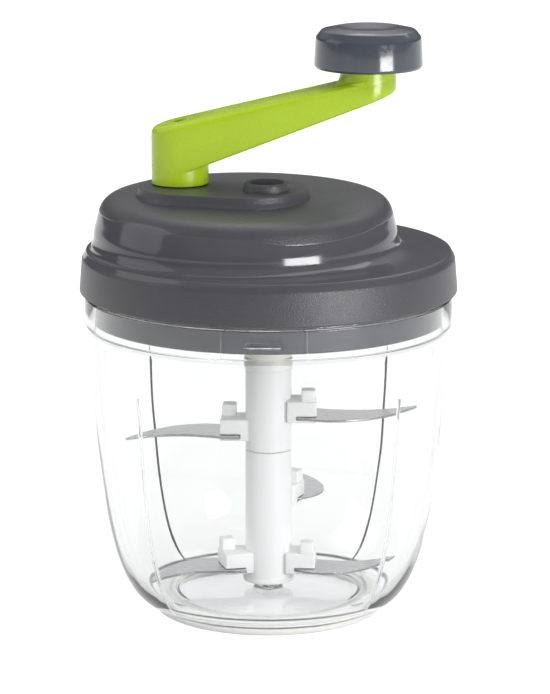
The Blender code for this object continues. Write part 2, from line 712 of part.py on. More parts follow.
def make_port_bore():
    """The feed port: a funnel from the ring down to the spout's bore."""
    top = PLATE_TOP + PORT_RISE
    rows = (
        (-PORT_BACK, PORT_BORE, top + OVERRUN), (-PORT_BACK, PORT_BORE, top - PORT_EDGE),
        (SPOUT_Y, SPOUT_BORE, top - PORT_FUNNEL), (SPOUT_Y, SPOUT_BORE, GEAR_FLOOR_BOTTOM - SPOUT_DROP - OVERRUN),
    )
    bm = bmesh.new()
    rings = [[bm.verts.new(p) for p in circle(r, SMALL_STEPS, x=-PORT_SIDE, y=y, z=z)] for y, r, z in rows]
    bm.faces.new(rings[0])
    bm.faces.new(tuple(reversed(rings[-1])))
    for upper, lower in zip(rings, rings[1:]):
        for i in range(SMALL_STEPS):
            j = (i + 1) % SMALL_STEPS
            bm.faces.new((upper[i], lower[i], lower[j], upper[j]))
    return mesh_object("port_bore", bm)


def screw_places():
    return [(x, side * y) for x, y in (RIGHT_SCREW, LEFT_SCREW) for side in (1, -1)]


def make_lid_base():
    floor_radius = LID_RADIUS - LID_TAPER - LID_WALL - FLOOR_EDGE_GAP
    plug_bottom = BOWL_HEIGHT - PLUG_DEPTH
    profile = [
        (0, GEAR_FLOOR_TOP), (floor_radius, GEAR_FLOOR_TOP), (floor_radius, GEAR_FLOOR_BOTTOM),
        (PLUG_RADIUS, GEAR_FLOOR_BOTTOM), (PLUG_RADIUS, plug_bottom + PLUG_CHAMFER),
        (PLUG_RADIUS - PLUG_CHAMFER, plug_bottom), (PLUG_RADIUS - PLUG_WALL, plug_bottom),
        (PLUG_RADIUS - PLUG_WALL, GEAR_FLOOR_BOTTOM), (0, GEAR_FLOOR_BOTTOM),
    ]
    base = turned("lid_base", profile, steps=LARGE_STEPS)
    sleeve_bore = PINION_SHAFT_RADIUS + RUNNING_GAP
    journal_bore = DRIVE_JOURNAL_RADIUS + RUNNING_GAP
    for i in range(BRACE_COUNT // 2):
        reach = PLUG_RADIUS - PLUG_WALL / 2
        brace = box("brace_%d" % (i + 1), (-reach, -BRACE_WIDTH / 2, GEAR_FLOOR_BOTTOM - BRACE_DEPTH),
                    (reach, BRACE_WIDTH / 2, GEAR_FLOOR_BOTTOM + SINK))
        brace.rotation_euler = (0, 0, 2 * math.pi * i / BRACE_COUNT)
        merge(base, brace)
    merge(
        base,
        cylinder("sleeve", sleeve_bore + SLEEVE_WALL, SLEEVE_BOTTOM, BEARING_TOP),
        cylinder("bearing", journal_bore + BEARING_WALL, GEAR_FLOOR_TOP - SINK, BEARING_TOP, (-CRANK_AXIS, 0, 0)),
    )
    cut(
        base,
        cylinder("sleeve_bore", sleeve_bore, SLEEVE_BOTTOM - OVERRUN, BEARING_TOP + OVERRUN),
        cylinder("journal_bore", journal_bore, GEAR_FLOOR_TOP, BEARING_TOP + OVERRUN, (-CRANK_AXIS, 0, 0)),
        cylinder("spout_hole", SPOUT_BORE + SPOUT_WALL + FIT_GAP, GEAR_FLOOR_BOTTOM - BRACE_DEPTH - OVERRUN,
                 GEAR_FLOOR_TOP + OVERRUN, (-PORT_SIDE, SPOUT_Y, 0)),
    )
    for i, (x, y) in enumerate(screw_places()):
        cut(base, cylinder("screw_hole_%d" % (i + 1), SCREW_SHANK_RADIUS + FIT_GAP, GEAR_FLOOR_BOTTOM - OVERRUN,
                           GEAR_FLOOR_TOP + OVERRUN, (x, y, 0), steps=TINY_STEPS))
    return finish(base, BASE_GREY, LID_PIVOT)


def make_seal_ring():
    inner = PLUG_RADIUS + FIT_GAP
    outer = inner + SEAL_WIDTH
    top = SEAL_BOTTOM + SEAL_THICKNESS
    middle = (inner + outer) / 2
    profile = [
        (outer, top), (outer, SEAL_BOTTOM + SEAL_BEAD), (middle, SEAL_BOTTOM),
        (inner, SEAL_BOTTOM + SEAL_BEAD), (inner, top),
    ]
    return finish(turned("seal_ring", profile, steps=LARGE_STEPS, ring=True), SILICONE, LID_PIVOT)


def screw_body(name, head_radius, head_height, shank_radius, length, steps=TINY_STEPS):
    """A screw standing head down, its head's seat at height zero, with a driver recess."""
    edge = head_height / 4
    profile = [
        (0, length), (shank_radius / 2, length), (shank_radius, length - shank_radius), (shank_radius, 0),
        (head_radius, 0), (head_radius, edge - head_height), (head_radius - edge, -head_height), (0, -head_height),
    ]
    screw = turned(name, profile, steps=steps)
    recess = head_height / 2
    cut(screw, hexagon(name + "_recess", head_radius, -head_height - OVERRUN, recess - head_height))
    return screw


def make_lid_screws():
    for i, (x, y) in enumerate(screw_places()):
        screw = screw_body("lid_screw_%d" % (i + 1), SCREW_HEAD_RADIUS, SCREW_HEAD_HEIGHT, SCREW_SHANK_RADIUS,
                           SCREW_LENGTH)
        place(screw, (x, y, GEAR_FLOOR_BOTTOM - FIT_GAP))
        finish(screw, STEEL, LID_PIVOT)


def place(obj, location, upside_down=False):
    """Moves a piece and the tools that shape it."""
    turn = Matrix.Rotation(math.pi, 4, "X") if upside_down else Matrix.Identity(4)
    move = Matrix.Translation(location) @ turn
    for tool in [modifier.object for modifier in obj.modifiers if modifier.type == "BOOLEAN"]:
        tool.matrix_world = move @ tool.matrix_basis
    obj.matrix_world = move @ obj.matrix_basis


# Gear train

def gear_outline(teeth, addendum, dedendum, phase):
    """A spur gear's outline with involute flanks, and one tooth centred on the phase."""
    pitch = MODULE * teeth / 2
    base = pitch * math.cos(PRESSURE_ANGLE)
    tip = pitch + addendum
    root = pitch - dedendum
    half_tooth = (math.pi * MODULE - BACKLASH) / (4 * pitch)
    pitch_roll = math.tan(PRESSURE_ANGLE) - PRESSURE_ANGLE
    flank = [(root, half_tooth + pitch_roll)] if root < base else []
    start = max(root, base)
    for i in range(FLANK_POINTS + 1):
        radius = start + (tip - start) * i / FLANK_POINTS
        angle = math.acos(base / radius)
        flank.append((radius, half_tooth + pitch_roll - (math.tan(angle) - angle)))
    outline = []
    for tooth in range(teeth):
        middle = phase + 2 * math.pi * tooth / teeth
        outline += [(r * math.cos(middle - a), r * math.sin(middle - a)) for r, a in flank]
        outline += [(r * math.cos(middle + a), r * math.sin(middle + a)) for r, a in reversed(flank)]
    return outline


def make_drive_gear():
    pitch = MODULE * DRIVE_TEETH / 2
    dedendum = PINION_ADDENDUM_SHARE * MODULE + ROOT_CLEARANCE
    outline = gear_outline(DRIVE_TEETH, DRIVE_ADDENDUM_SHARE * MODULE, dedendum, phase=0.0)
    axis = (-CRANK_AXIS, 0, 0)
    gear = plate("drive_gear", [outline], GEAR_BOTTOM, GEAR_TOP, axis)
    hub = DRIVE_SPINDLE_RADIUS + BEARING_WALL
    rim = pitch - dedendum - GEAR_RIM
    recess = [(rim, GEAR_TOP + OVERRUN), (rim, GEAR_TOP - WEB_RECESS),
              (hub, GEAR_TOP - WEB_RECESS), (hub, GEAR_TOP + OVERRUN)]
    cut(gear, turned("web_recess", recess, axis, ring=True))
    for i in range(WEB_HOLES):
        angle = 2 * math.pi * i / WEB_HOLES + HEXAGON_TURN
        middle = (hub + rim) / 2
        place_at = (-CRANK_AXIS + middle * math.cos(angle), middle * math.sin(angle), 0)
        cut(gear, cylinder("web_hole_%d" % (i + 1), WEB_HOLE_RADIUS, GEAR_BOTTOM - OVERRUN, GEAR_TOP, place_at,
                           steps=TINY_STEPS))
    square_top = HUB_BASE + DRIVE_SQUARE_LENGTH
    half = DRIVE_SQUARE / 2
    merge(
        gear,
        cylinder("drive_spindle", DRIVE_SPINDLE_RADIUS, GEAR_TOP - WEB_RECESS, HUB_BASE - RUNNING_GAP, axis),
        box("drive_square", (-half, -half, HUB_BASE - OVERRUN), (half, half, square_top), axis),
        cylinder("drive_journal", DRIVE_JOURNAL_RADIUS, GEAR_FLOOR_TOP + RUNNING_GAP, GEAR_BOTTOM + SINK, axis),
    )
    cut(gear, cylinder("crank_screw_pilot", CRANK_SCREW_SHANK_RADIUS + FIT_GAP,
                       square_top - CRANK_SCREW_LENGTH, square_top + OVERRUN, axis, steps=TINY_STEPS))
    return finish(gear, GEAR_WHITE, CRANK_PIVOT)


def make_pinion():
    dedendum = DRIVE_ADDENDUM_SHARE * MODULE + ROOT_CLEARANCE
    half_pitch = math.pi / PINION_TEETH
    outline = gear_outline(PINION_TEETH, PINION_ADDENDUM_SHARE * MODULE, dedendum, phase=half_pitch)
    pinion = plate("pinion", [outline], GEAR_BOTTOM, PINION_TOP)
    stub_bottom = SOCKET_BOTTOM + SOCKET_MOUTH + FIT_GAP
    merge(
        pinion,
        cylinder("pinion_shaft", PINION_SHAFT_RADIUS, SLEEVE_BOTTOM, GEAR_BOTTOM + SINK),
        cylinder("pinion_top", PINION_TOP_RADIUS, PINION_TOP - SINK, PINION_TOP + PINION_TOP_LENGTH),
        hexagon("pinion_stub", STUB_FLATS, stub_bottom, SLEEVE_BOTTOM + SINK),
    )
    cut(pinion, cylinder("socket_screw_pilot", SCREW_SHANK_RADIUS + FIT_GAP, stub_bottom - OVERRUN,
                         stub_bottom + SOCKET_SCREW_LENGTH, steps=TINY_STEPS))
    return finish(pinion, GEAR_WHITE, PINION_PIVOT)


def make_drive_socket():
    """The sleeve under the lid that grips the blade shaft's six-sided spindle."""
    profile = [
        (0, SOCKET_TOP), (SOCKET_RADIUS - SOCKET_EDGE, SOCKET_TOP), (SOCKET_RADIUS, SOCKET_TOP - SOCKET_EDGE),
        (SOCKET_RADIUS, SOCKET_BOTTOM), (0, SOCKET_BOTTOM),
    ]
    socket = turned("drive_socket", profile)
    mouth_top = SOCKET_BOTTOM + SOCKET_MOUTH
    cut(
        socket,
        hexagon("socket_mouth", SPINDLE_FLATS + 2 * FIT_GAP, SOCKET_BOTTOM - OVERRUN, mouth_top),
        hexagon("stub_bore", STUB_FLATS + 2 * FIT_GAP, mouth_top - SINK, SOCKET_TOP + OVERRUN),
    )
    return finish(socket, CREAM, PINION_PIVOT)


def make_socket_screw():
    screw = screw_body("socket_screw", SOCKET_SCREW_HEAD_RADIUS, SOCKET_SCREW_HEAD_HEIGHT, SCREW_SHANK_RADIUS,
                       SOCKET_SCREW_LENGTH - FIT_GAP)
    place(screw, (0, 0, SOCKET_BOTTOM + SOCKET_MOUTH))
    return finish(screw, STEEL, PINION_PIVOT)


# Crank and knob

def sloped_ring(x, hub_height, end_height):
    """A ring of the arm's plan at one end, on the plane through the two heights over the hub and the knob."""
    slope = (end_height - hub_height) / CRANK_RADIUS
    ring = circle(ARM_WIDTH / 2, MEDIUM_STEPS, x=x)
    for point in ring:
        point.z = HUB_BASE + hub_height + slope * point.x
    return ring


def make_crank_arm():
    axis = (-CRANK_AXIS, 0, 0)
    points = []
    for x in (0, CRANK_RADIUS):
        points += sloped_ring(x, HUB_UNDERCUT, ARM_END_BOTTOM) + sloped_ring(x, HUB_TOP, ARM_END_TOP)
    arm = round_edges(hull("crank_arm", points, axis), ARM_EDGE, segments=3, angle=50)
    post_top = HUB_BASE + POST_TOP
    post_foot = HUB_BASE + ARM_END_TOP - POST_FILLET
    post = [
        (0, post_top), (POST_RADIUS, post_top), (POST_RADIUS, post_top - POST_FILLET / 2),
        (POST_RADIUS, post_foot - POST_FILLET), (0, post_foot - POST_FILLET),
    ]
    knob_place = (KNOB_X, 0, 0)
    merge(
        arm,
        cylinder("crank_hub", HUB_RADIUS, HUB_BASE, HUB_BASE + HUB_TOP / 2, axis, steps=MEDIUM_STEPS),
        turned("knob_post", post, knob_place),
    )
    half = DRIVE_SQUARE / 2 + FIT_GAP
    square_top = HUB_BASE + DRIVE_SQUARE_LENGTH + FIT_GAP
    seat = square_top + CRANK_SCREW_GRIP
    knob_seat = KNOB_BASE - KNOB_SPINDLE_LENGTH + RUNNING_GAP
    cut(
        arm,
        box("square_socket", (-half, -half, HUB_BASE - OVERRUN), (half, half, square_top), axis),
        stepped_bore("crank_screw_bore", axis, (
            (CRANK_SCREW_RECESS, HUB_BASE + HUB_TOP + ARM_WIDTH, seat),
            (CRANK_SCREW_SHANK_RADIUS + FIT_GAP, seat, square_top - SINK),
        )),
        stepped_bore("knob_bore", knob_place, (
            (KNOB_SPINDLE_RADIUS + RUNNING_GAP, post_top + OVERRUN, knob_seat),
            (KNOB_SCREW_HEAD_RADIUS + RUNNING_GAP, knob_seat, HUB_BASE + HUB_UNDERCUT),
        )),
    )
    return finish(arm, LIME, CRANK_PIVOT)


def make_crank_screw():
    screw = screw_body("crank_screw", CRANK_SCREW_HEAD_RADIUS, CRANK_SCREW_HEAD_HEIGHT, CRANK_SCREW_SHANK_RADIUS,
                       CRANK_SCREW_LENGTH)
    seat = HUB_BASE + DRIVE_SQUARE_LENGTH + FIT_GAP + CRANK_SCREW_GRIP + FIT_GAP
    place(screw, (-CRANK_AXIS, 0, seat), upside_down=True)
    return finish(screw, STEEL, CRANK_PIVOT)


def make_knob():
    """A dished knob with its own spindle, hollow below."""
    rim = KNOB_SHARES[0][0] * KNOB_RADIUS
    top = KNOB_BASE + KNOB_HEIGHT
    dish = [(r * rim, top - depth * KNOB_DISH) for r, depth in DISH_SHARES]
    side = [(r * KNOB_RADIUS, KNOB_BASE + z * KNOB_HEIGHT) for r, z in KNOB_SHARES]
    pocket_outer = KNOB_RADIUS - KNOB_WALL
    pocket_top = KNOB_BASE + KNOB_POCKET_DEPTH
    spindle_bottom = KNOB_BASE - KNOB_SPINDLE_LENGTH
    profile = [
        (0, top - KNOB_DISH), *dish, *side,
        (pocket_outer, KNOB_BASE), (pocket_outer - KNOB_WALL / 2, pocket_top), (KNOB_POCKET_RADIUS, pocket_top),
        (KNOB_POCKET_RADIUS, KNOB_BASE), (KNOB_SPINDLE_RADIUS, KNOB_BASE), (KNOB_SPINDLE_RADIUS, spindle_bottom),
        (0, spindle_bottom),
    ]
    knob = turned("knob", profile, (KNOB_X, 0, 0), steps=MEDIUM_STEPS)
    cut(knob, cylinder("knob_screw_pilot", KNOB_SCREW_SHANK_RADIUS + FIT_GAP, spindle_bottom - OVERRUN,
                       spindle_bottom + KNOB_SCREW_LENGTH + FIT_GAP, (KNOB_X, 0, 0), steps=TINY_STEPS))
    return finish(knob, KNOB_GREY, KNOB_PIVOT)


def make_knob_screw():
    screw = screw_body("knob_screw", KNOB_SCREW_HEAD_RADIUS, KNOB_SCREW_HEAD_HEIGHT, KNOB_SCREW_SHANK_RADIUS,
                       KNOB_SCREW_LENGTH, steps=SMALL_STEPS)
    place(screw, (KNOB_X, 0, KNOB_BASE - KNOB_SPINDLE_LENGTH - FIT_GAP))
    return finish(screw, STEEL, KNOB_PIVOT)


# Blade set

def make_shaft_upper():
    profile = [
        (0, SHAFT_TOP), (COLLAR_RADIUS - COLLAR_EDGE, SHAFT_TOP), (COLLAR_RADIUS, SHAFT_TOP - COLLAR_EDGE),
        (COLLAR_RADIUS, SHAFT_TOP - COLLAR_HEIGHT + COLLAR_EDGE), (SHAFT_RADIUS, SHAFT_TOP - COLLAR_HEIGHT),
        (SHAFT_RADIUS, SHAFT_SEAM + FIT_GAP), (0, SHAFT_SEAM + FIT_GAP),
    ]
    shaft = turned("shaft_upper", profile, steps=SMALL_STEPS + TINY_STEPS)
    merge(shaft, hexagon("spindle", SPINDLE_FLATS, SHAFT_TOP - SINK, SHAFT_TOP + SPINDLE_HEIGHT))
    add_holders(shaft, "upper")
    cut(shaft, hexagon("joint_bore", JOINT_STUB_FLATS + 2 * FIT_GAP, SHAFT_SEAM - OVERRUN,
                       SHAFT_SEAM + JOINT_STUB_LENGTH + FIT_GAP))
    return finish(shaft, WHITE, BLADE_PIVOT)


def make_shaft_lower():
    profile = [
        (0, SHAFT_SEAM), (SHAFT_RADIUS, SHAFT_SEAM), (SHAFT_RADIUS, SHAFT_BOTTOM + FLANGE_HEIGHT),
        (FLANGE_RADIUS, SHAFT_BOTTOM + FLANGE_HEIGHT), (FLANGE_RADIUS, SHAFT_BOTTOM), (0, SHAFT_BOTTOM),
    ]
    shaft = turned("shaft_lower", profile, steps=SMALL_STEPS + TINY_STEPS)
    merge(shaft, hexagon("joint_stub", JOINT_STUB_FLATS, SHAFT_SEAM - SINK, SHAFT_SEAM + JOINT_STUB_LENGTH))
    add_holders(shaft, "lower")
    pin_top = FLOOR_TOP - PIN_SEAT + PIN_LENGTH
    cut(shaft, cylinder("pivot_bore", PIN_RADIUS + RUNNING_GAP, SHAFT_BOTTOM - OVERRUN, pin_top + RUNNING_GAP))
    return finish(shaft, WHITE, BLADE_PIVOT)


def add_holders(shaft, piece):
    """Moulds each blade's holder onto the shaft, slotted for the blade's root."""
    slots = []
    for i, (height, azimuth, reach, held_by) in enumerate(BLADES):
        if held_by != piece:
            continue
        block = box("holder_%d" % (i + 1), (SHAFT_RADIUS / 2, -HOLDER_FRONT, height - HOLDER_BELOW),
                    (HOLDER_REACH, HOLDER_BACK, height + HOLDER_ABOVE))
        round_edges(block, HOLDER_EDGE, segments=1)
        post_outer = HOLDER_REACH - HOLDER_POST_SETBACK
        post_front = -HOLDER_FRONT + HOLDER_POST_SETBACK
        post = box("holder_post_%d" % (i + 1), (post_outer - HOLDER_POST_WIDTH, post_front, height + HOLDER_BELOW),
                   (post_outer, post_front + HOLDER_POST_WIDTH, height + HOLDER_POST_TOP))
        round_edges(post, HOLDER_EDGE, segments=1)
        slot_half = BLADE_THICKNESS / 2 + FIT_GAP
        slot = box("blade_slot_%d" % (i + 1), (BLADE_ROOT - FIT_GAP, -HOLDER_FRONT - OVERRUN, height - slot_half),
                   (HOLDER_REACH + OVERRUN, HOLDER_BACK + OVERRUN, height + slot_half))
        for tool in (block, post, slot):
            tool.rotation_euler = (0, 0, azimuth)
        merge(shaft, block, post)
        slots.append(slot)
    cut(shaft, *slots)


def make_blades():
    """Curved blades: a bellied cutting edge, ground thin, and a hollow back that sweeps to the tip."""
    for i, (height, azimuth, reach_share, _) in enumerate(BLADES):
        lowest = height - BLADE_THICKNESS
        tip = (inner_radius(lowest) - RIB_DEPTH - TIP_CLEARANCE) * reach_share
        outline = blade_outline(tip, 0.0)
        ground = blade_outline(tip, BLADE_EDGE)
        half = BLADE_THICKNESS / 2
        bm = bmesh.new()
        top = [bm.verts.new((x, y, height + half)) for x, y in ground]
        middle = [bm.verts.new((x, y, height - half / 2)) for x, y in outline]
        bottom = [bm.verts.new((x, y, height - half)) for x, y in outline]
        count = len(outline)
        bm.faces.new(top)
        bm.faces.new(list(reversed(bottom)))
        for upper, lower in ((top, middle), (middle, bottom)):
            for j in range(count):
                k = (j + 1) % count
                bm.faces.new((upper[j], lower[j], lower[k], upper[k]))
        bmesh.ops.recalc_face_normals(bm, faces=bm.faces)
        blade = mesh_object("blade_%d" % (i + 1), bm)
        blade.rotation_euler = (0, 0, azimuth)
        finish(blade, STEEL, BLADE_PIVOT)


def blade_outline(tip, grind):
    """The blade in plan, its cutting edge moved in by the grind, which fades at the tip."""
    root = (BLADE_ROOT, ROOT_SHARE * BLADE_HALF_WIDTH)
    cutting = bezier(root, *[(x * tip, y * BLADE_HALF_WIDTH) for x, y in CUTTING_SHARES], BLADE_POINTS)
    back = bezier(*[(x * tip, y * BLADE_HALF_WIDTH) for x, y in BACK_SHARES], BLADE_POINTS - 2)
    last = len(cutting) - 1
    ground = [(x, y + grind * (1 - (i / last) ** 3)) for i, (x, y) in enumerate(cutting)]
    return [*ground, *back[1:], (BLADE_ROOT, back[-1][1])]


clear_scene()
PARTS = new_collection(NAME)
CUTTERS = new_collection(NAME + "_tools")

CLEAR = new_material("clear_plastic", (0.93, 0.94, 0.94), 0.05, transmission=0.9)
SILICONE = new_material("silicone", (0.80, 0.79, 0.74), 0.55)
STEEL = new_material("stainless_steel", (0.58, 0.58, 0.58), 0.25, metallic=1.0)
LID_GREY = new_material("lid_grey", (0.115, 0.115, 0.120), 0.35)
BASE_GREY = new_material("base_grey", (0.105, 0.105, 0.112), 0.45)
KNOB_GREY = new_material("knob_grey", (0.105, 0.120, 0.135), 0.20)
LIME = new_material("lime_plastic", (0.42, 0.62, 0.045), 0.28)
GEAR_WHITE = new_material("gear_white", (0.86, 0.86, 0.84), 0.40)
CREAM = new_material("cream_plastic", (0.80, 0.78, 0.70), 0.40)
WHITE = new_material("white_plastic", (0.88, 0.88, 0.87), 0.35)

LID_PIVOT = add_pivot("lid_pivot", (0, 0, 0))
CRANK_PIVOT = add_pivot("crank_pivot", (-CRANK_AXIS, 0, 0), LID_PIVOT)
KNOB_PIVOT = add_pivot("knob_pivot", (KNOB_X, 0, 0), CRANK_PIVOT)
PINION_PIVOT = add_pivot("pinion_pivot", (0, 0, 0), LID_PIVOT)
BLADE_PIVOT = add_pivot("blade_pivot", (0, 0, 0))

make_bowl()
make_foot_ring()
make_pivot_pin()
make_lid_cover()
make_lid_ring()
make_lid_base()
make_seal_ring()
make_lid_screws()
make_drive_gear()
make_pinion()
make_drive_socket()
make_socket_screw()
make_crank_arm()
make_crank_screw()
make_knob()
make_knob_screw()
make_shaft_upper()
make_shaft_lower()
make_blades()
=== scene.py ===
"""Looks of a hand-cranked vegetable chopper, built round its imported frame.

Lengths are in metres and +Z is up. The bowl's axis is the Z axis, and the crank points along +X at rest.
"""
from math import asin, ceil, copysign, cos, pi, radians, sin, sqrt, tan

import bmesh
import bpy
from mathutils import Matrix, Vector


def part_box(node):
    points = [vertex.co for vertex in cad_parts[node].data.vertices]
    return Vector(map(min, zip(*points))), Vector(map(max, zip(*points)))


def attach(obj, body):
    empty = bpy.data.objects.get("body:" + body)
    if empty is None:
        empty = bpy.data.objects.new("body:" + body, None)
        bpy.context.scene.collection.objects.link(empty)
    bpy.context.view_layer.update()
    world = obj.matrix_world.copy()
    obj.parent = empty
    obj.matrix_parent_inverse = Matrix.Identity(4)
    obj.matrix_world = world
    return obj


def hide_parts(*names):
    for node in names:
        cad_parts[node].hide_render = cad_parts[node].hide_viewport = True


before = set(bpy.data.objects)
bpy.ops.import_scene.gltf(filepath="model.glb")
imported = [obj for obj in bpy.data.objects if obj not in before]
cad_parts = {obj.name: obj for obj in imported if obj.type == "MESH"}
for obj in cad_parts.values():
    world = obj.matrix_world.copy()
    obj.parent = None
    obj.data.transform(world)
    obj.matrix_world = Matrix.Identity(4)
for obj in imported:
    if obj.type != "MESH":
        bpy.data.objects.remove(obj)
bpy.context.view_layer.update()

MM = 0.001

# Smoothness of the shapes
ROUND_STEPS = 160
ROD_STEPS = 64
ARC_STEP = radians(9)
CURVE_POINTS = 44
SPLINE_STEPS = 5
CREASE = 34  # degrees

# Sizes read from the frame
RING_LOW, RING_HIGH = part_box("lid_ring")
PORT_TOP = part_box("lid_cover")[1].z
BASE_LOW, BASE_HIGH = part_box("lid_base")
KNOB_LOW, KNOB_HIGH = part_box("knob")
ARM_LOW, ARM_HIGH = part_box("crank_arm")
SOCKET_LOW, SOCKET_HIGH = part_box("drive_socket")
FOOT_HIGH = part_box("foot_ring")[1]
SHAFT_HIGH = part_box("shaft_upper")[1]
SHAFT_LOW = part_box("shaft_lower")[0]
PIN_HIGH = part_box("pivot_pin")[1]
GEAR_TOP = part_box("drive_gear")[1].z

FIT_GAP = 0.3 * MM
OVERRUN = 1.0 * MM

# Bowl
BOWL_WALL = 2.2 * MM
BASE_RADIUS = 38.7 * MM
BASE_TOP = 2.0 * MM
FLOOR_TOP = 5.2 * MM
UNDERSIDE = 3.0 * MM
# Painted shade: a grey line coloured into the bowl's wall at its foot, at this height
PAINTED_SHADE_LINE = 3.9  # height of the grey line at the wall's foot, in millimetres
FOOT_WIDTH = 6.2 * MM
NECK_RADIUS = 62.3 * MM
NECK_WALL = 2.5 * MM
NECK_STEP = 1.3 * MM
NECK_CHAMFER = 1.8 * MM
NECK_HEIGHT = 17.7 * MM
RIM_HEIGHT = 7.9 * MM
RIM_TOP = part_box("bowl")[1].z
NECK_BOTTOM = RIM_TOP - NECK_HEIGHT
STEP_TOP = RIM_TOP - RIM_HEIGHT
SIDE_RADIUS = NECK_RADIUS - NECK_STEP
SIDE_TOP = NECK_BOTTOM - NECK_CHAMFER
SIDE_LOW_SHARES = (0.73, 0.02)
SIDE_HIGH_SHARES = (0.888, 0.448)
PIN_BORE = 2.3 * MM
BOSS_RADIUS = 4.6 * MM
BOSS_TOP = 7.8 * MM
FIN_COUNT = 4
FIN_FIRST = radians(43)
FIN_LEAN = radians(2)
FIN_TOP = 82.0 * MM
FIN_DEPTH = 1.1 * MM
FIN_WIDTH = 1.2 * MM
FIN_TAPER = 7.0 * MM
BEAD_LENGTH = 12.5 * MM
BEAD_HEIGHT = 2.6 * MM
BEAD_RISE = 0.85 * MM
BEAD_OFFSET = -1.5 * MM
PAD_LEFT = -15.1 * MM
PAD_RIGHT = 12.2 * MM
PAD_RISE = 0.45 * MM

# Lid
LID_RADIUS = RING_HIGH.x
LID_WALL = 2.0 * MM
SKIRT_BOTTOM = RING_LOW.z
RIM_EDGE_RADIUS = LID_RADIUS - 2.3 * MM
LEDGE_HEIGHT = RIM_TOP + 7.3 * MM
CAP_RADIUS = 52.2 * MM
CAP_OFFSET = RIM_EDGE_RADIUS - CAP_RADIUS - 1.8 * MM
CAP_TOP = LEDGE_HEIGHT + 19.6 * MM
CAP_DIP = 1.5 * MM
CAP_DIP_SPAN = 40 * MM
PLATE_TOP = CAP_TOP + 2.5 * MM
# Cap outline from its crown to the ledge: radius and drop below the crown, in millimetres
CAP_LINE = (
    (0, 0), (20, 0.15), (36, 0.45), (41, 0.85), (44.5, 1.5), (46.6, 2.4), (48.1, 3.7), (49.1, 5.3),
    (49.8, 7.4), (50.5, 10.1), (51.0, 12.1), (51.25, 13.6), (51.4, 15.2), (51.7, 16.6), (52.4, 17.9),
    (53.6, 18.9), (55.5, 19.4), (58.5, 19.55), (61.0, 19.6),
)
# Height of the line between the cap's grain and its polish, from left to right, in millimetres
GLOSS_LINE = (
    (-51, 138.3), (-45, 139.4), (-37, 139.4), (-31, 138.3), (-22, 137.8), (-7, 137.0), (2, 135.6), (9, 135.0),
    (17, 135.0), (24, 135.3), (32, 136.1), (39, 137.1),
)
GLOSS_SPAN = (-60, 50)
GLOSS_RANGE = (130, 142)
CRANK_X = -29.7 * MM
HUB_RADIUS = 9.62 * MM
PLATE_HUB_RADIUS = 13.4 * MM
PLATE_LEFT = (-25.7 * MM, -4.9 * MM, 18.0 * MM)
PLATE_RIGHT = (-7.2 * MM, -7.5 * MM, 20.6 * MM)
PORT = (-0.7 * MM, -12.0 * MM)
SPOUT = (-0.7 * MM, -13.2 * MM)
PORT_RADIUS = 7.8 * MM
PORT_BORE = 5.5 * MM
SPOUT_BORE = 3.0 * MM
SPOUT_WALL = 1.2 * MM
SPOUT_DROP = 4.0 * MM
GEAR_FLOOR_TOP = 121.3 * MM
GEAR_FLOOR_LOW = 119.5 * MM
GEAR_ROOF = 131.6 * MM
BEARING_TOP = BASE_HIGH.z
PLUG_BOTTOM = BASE_LOW.z
PLUG_RADIUS = 59.4 * MM
PLUG_WALL = 2.2 * MM
SLEEVE_BOTTOM = 104.3 * MM
SLEEVE_RADIUS = 8.4 * MM
SLEEVE_BORE = 5.3 * MM
BRACE_COUNT = 6
BRACE_WIDTH = 1.4 * MM
BRACE_DEPTH = 8.0 * MM
SCREW_PLACES = [(x * MM, y * MM) for x, y in ((28.0, 24.0), (28.0, -24.0), (-42.0, 24.5), (-42.0, -24.5))]
SCREW_BOSS_RADIUS = 3.6 * MM

# Crank arm and knob
KNOB_X = (KNOB_LOW.x + KNOB_HIGH.x) / 2
ARM_HALF_WIDTH = 9.65 * MM
ARM_EDGE = 2.0 * MM
HUB_BASE = ARM_LOW.z
POST_TOP = ARM_HIGH.z
HUB_TOP = 21.2 * MM
HUB_UNDERCUT = 3.9 * MM
END_TOP = 35.9 * MM
END_BOTTOM = 27.8 * MM
POST_RADIUS = 9.32 * MM
POST_FLARE = 2.2 * MM
RECESS_RADIUS = 2.3 * MM
RECESS_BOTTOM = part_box("crank_screw")[1].z - 2.0 * MM
KNOB_RADIUS = (KNOB_HIGH.x - KNOB_LOW.x) / 2
KNOB_BASE = KNOB_HIGH.z - 13.7 * MM
KNOB_DISH = 1.5 * MM
KNOB_RIM = 10.9 * MM
KNOB_WALL = 2.2 * MM
KNOB_POCKET = 7.4 * MM
SPINDLE_RADIUS = 3.6 * MM

# Blade set
SHAFT_RADIUS = 7.9 * MM
SHAFT_SEAM = 55.0 * MM
COLLAR_TOP = SOCKET_LOW.z - FIT_GAP
COLLAR_RADIUS = 8.35 * MM
COLLAR_HEIGHT = 2.7 * MM
FLANGE_RADIUS = 8.7 * MM
FLANGE_HEIGHT = 1.4 * MM
SPINDLE_FLATS = 9.0 * MM
HOLDER_REACH = 16.4 * MM
HOLDER_FRONT = 7.0 * MM
HOLDER_BACK = 4.6 * MM
HOLDER_BELOW = 1.7 * MM
HOLDER_ABOVE = 5.8 * MM
HOLDER_EDGE = 0.55 * MM
HOLDER_POST_TOP = 9.8 * MM
HOLDER_POST_WIDTH = 4.8 * MM
HOLDER_POST_SETBACK = 0.4 * MM
BLADE_THICKNESS = 0.9 * MM
BLADE_ROOT = 9.6 * MM
BLADE_HALF_WIDTH = 10.4 * MM
BLADE_GRIND = 0.9 * MM
TIP_CLEARANCE = 0.6 * MM
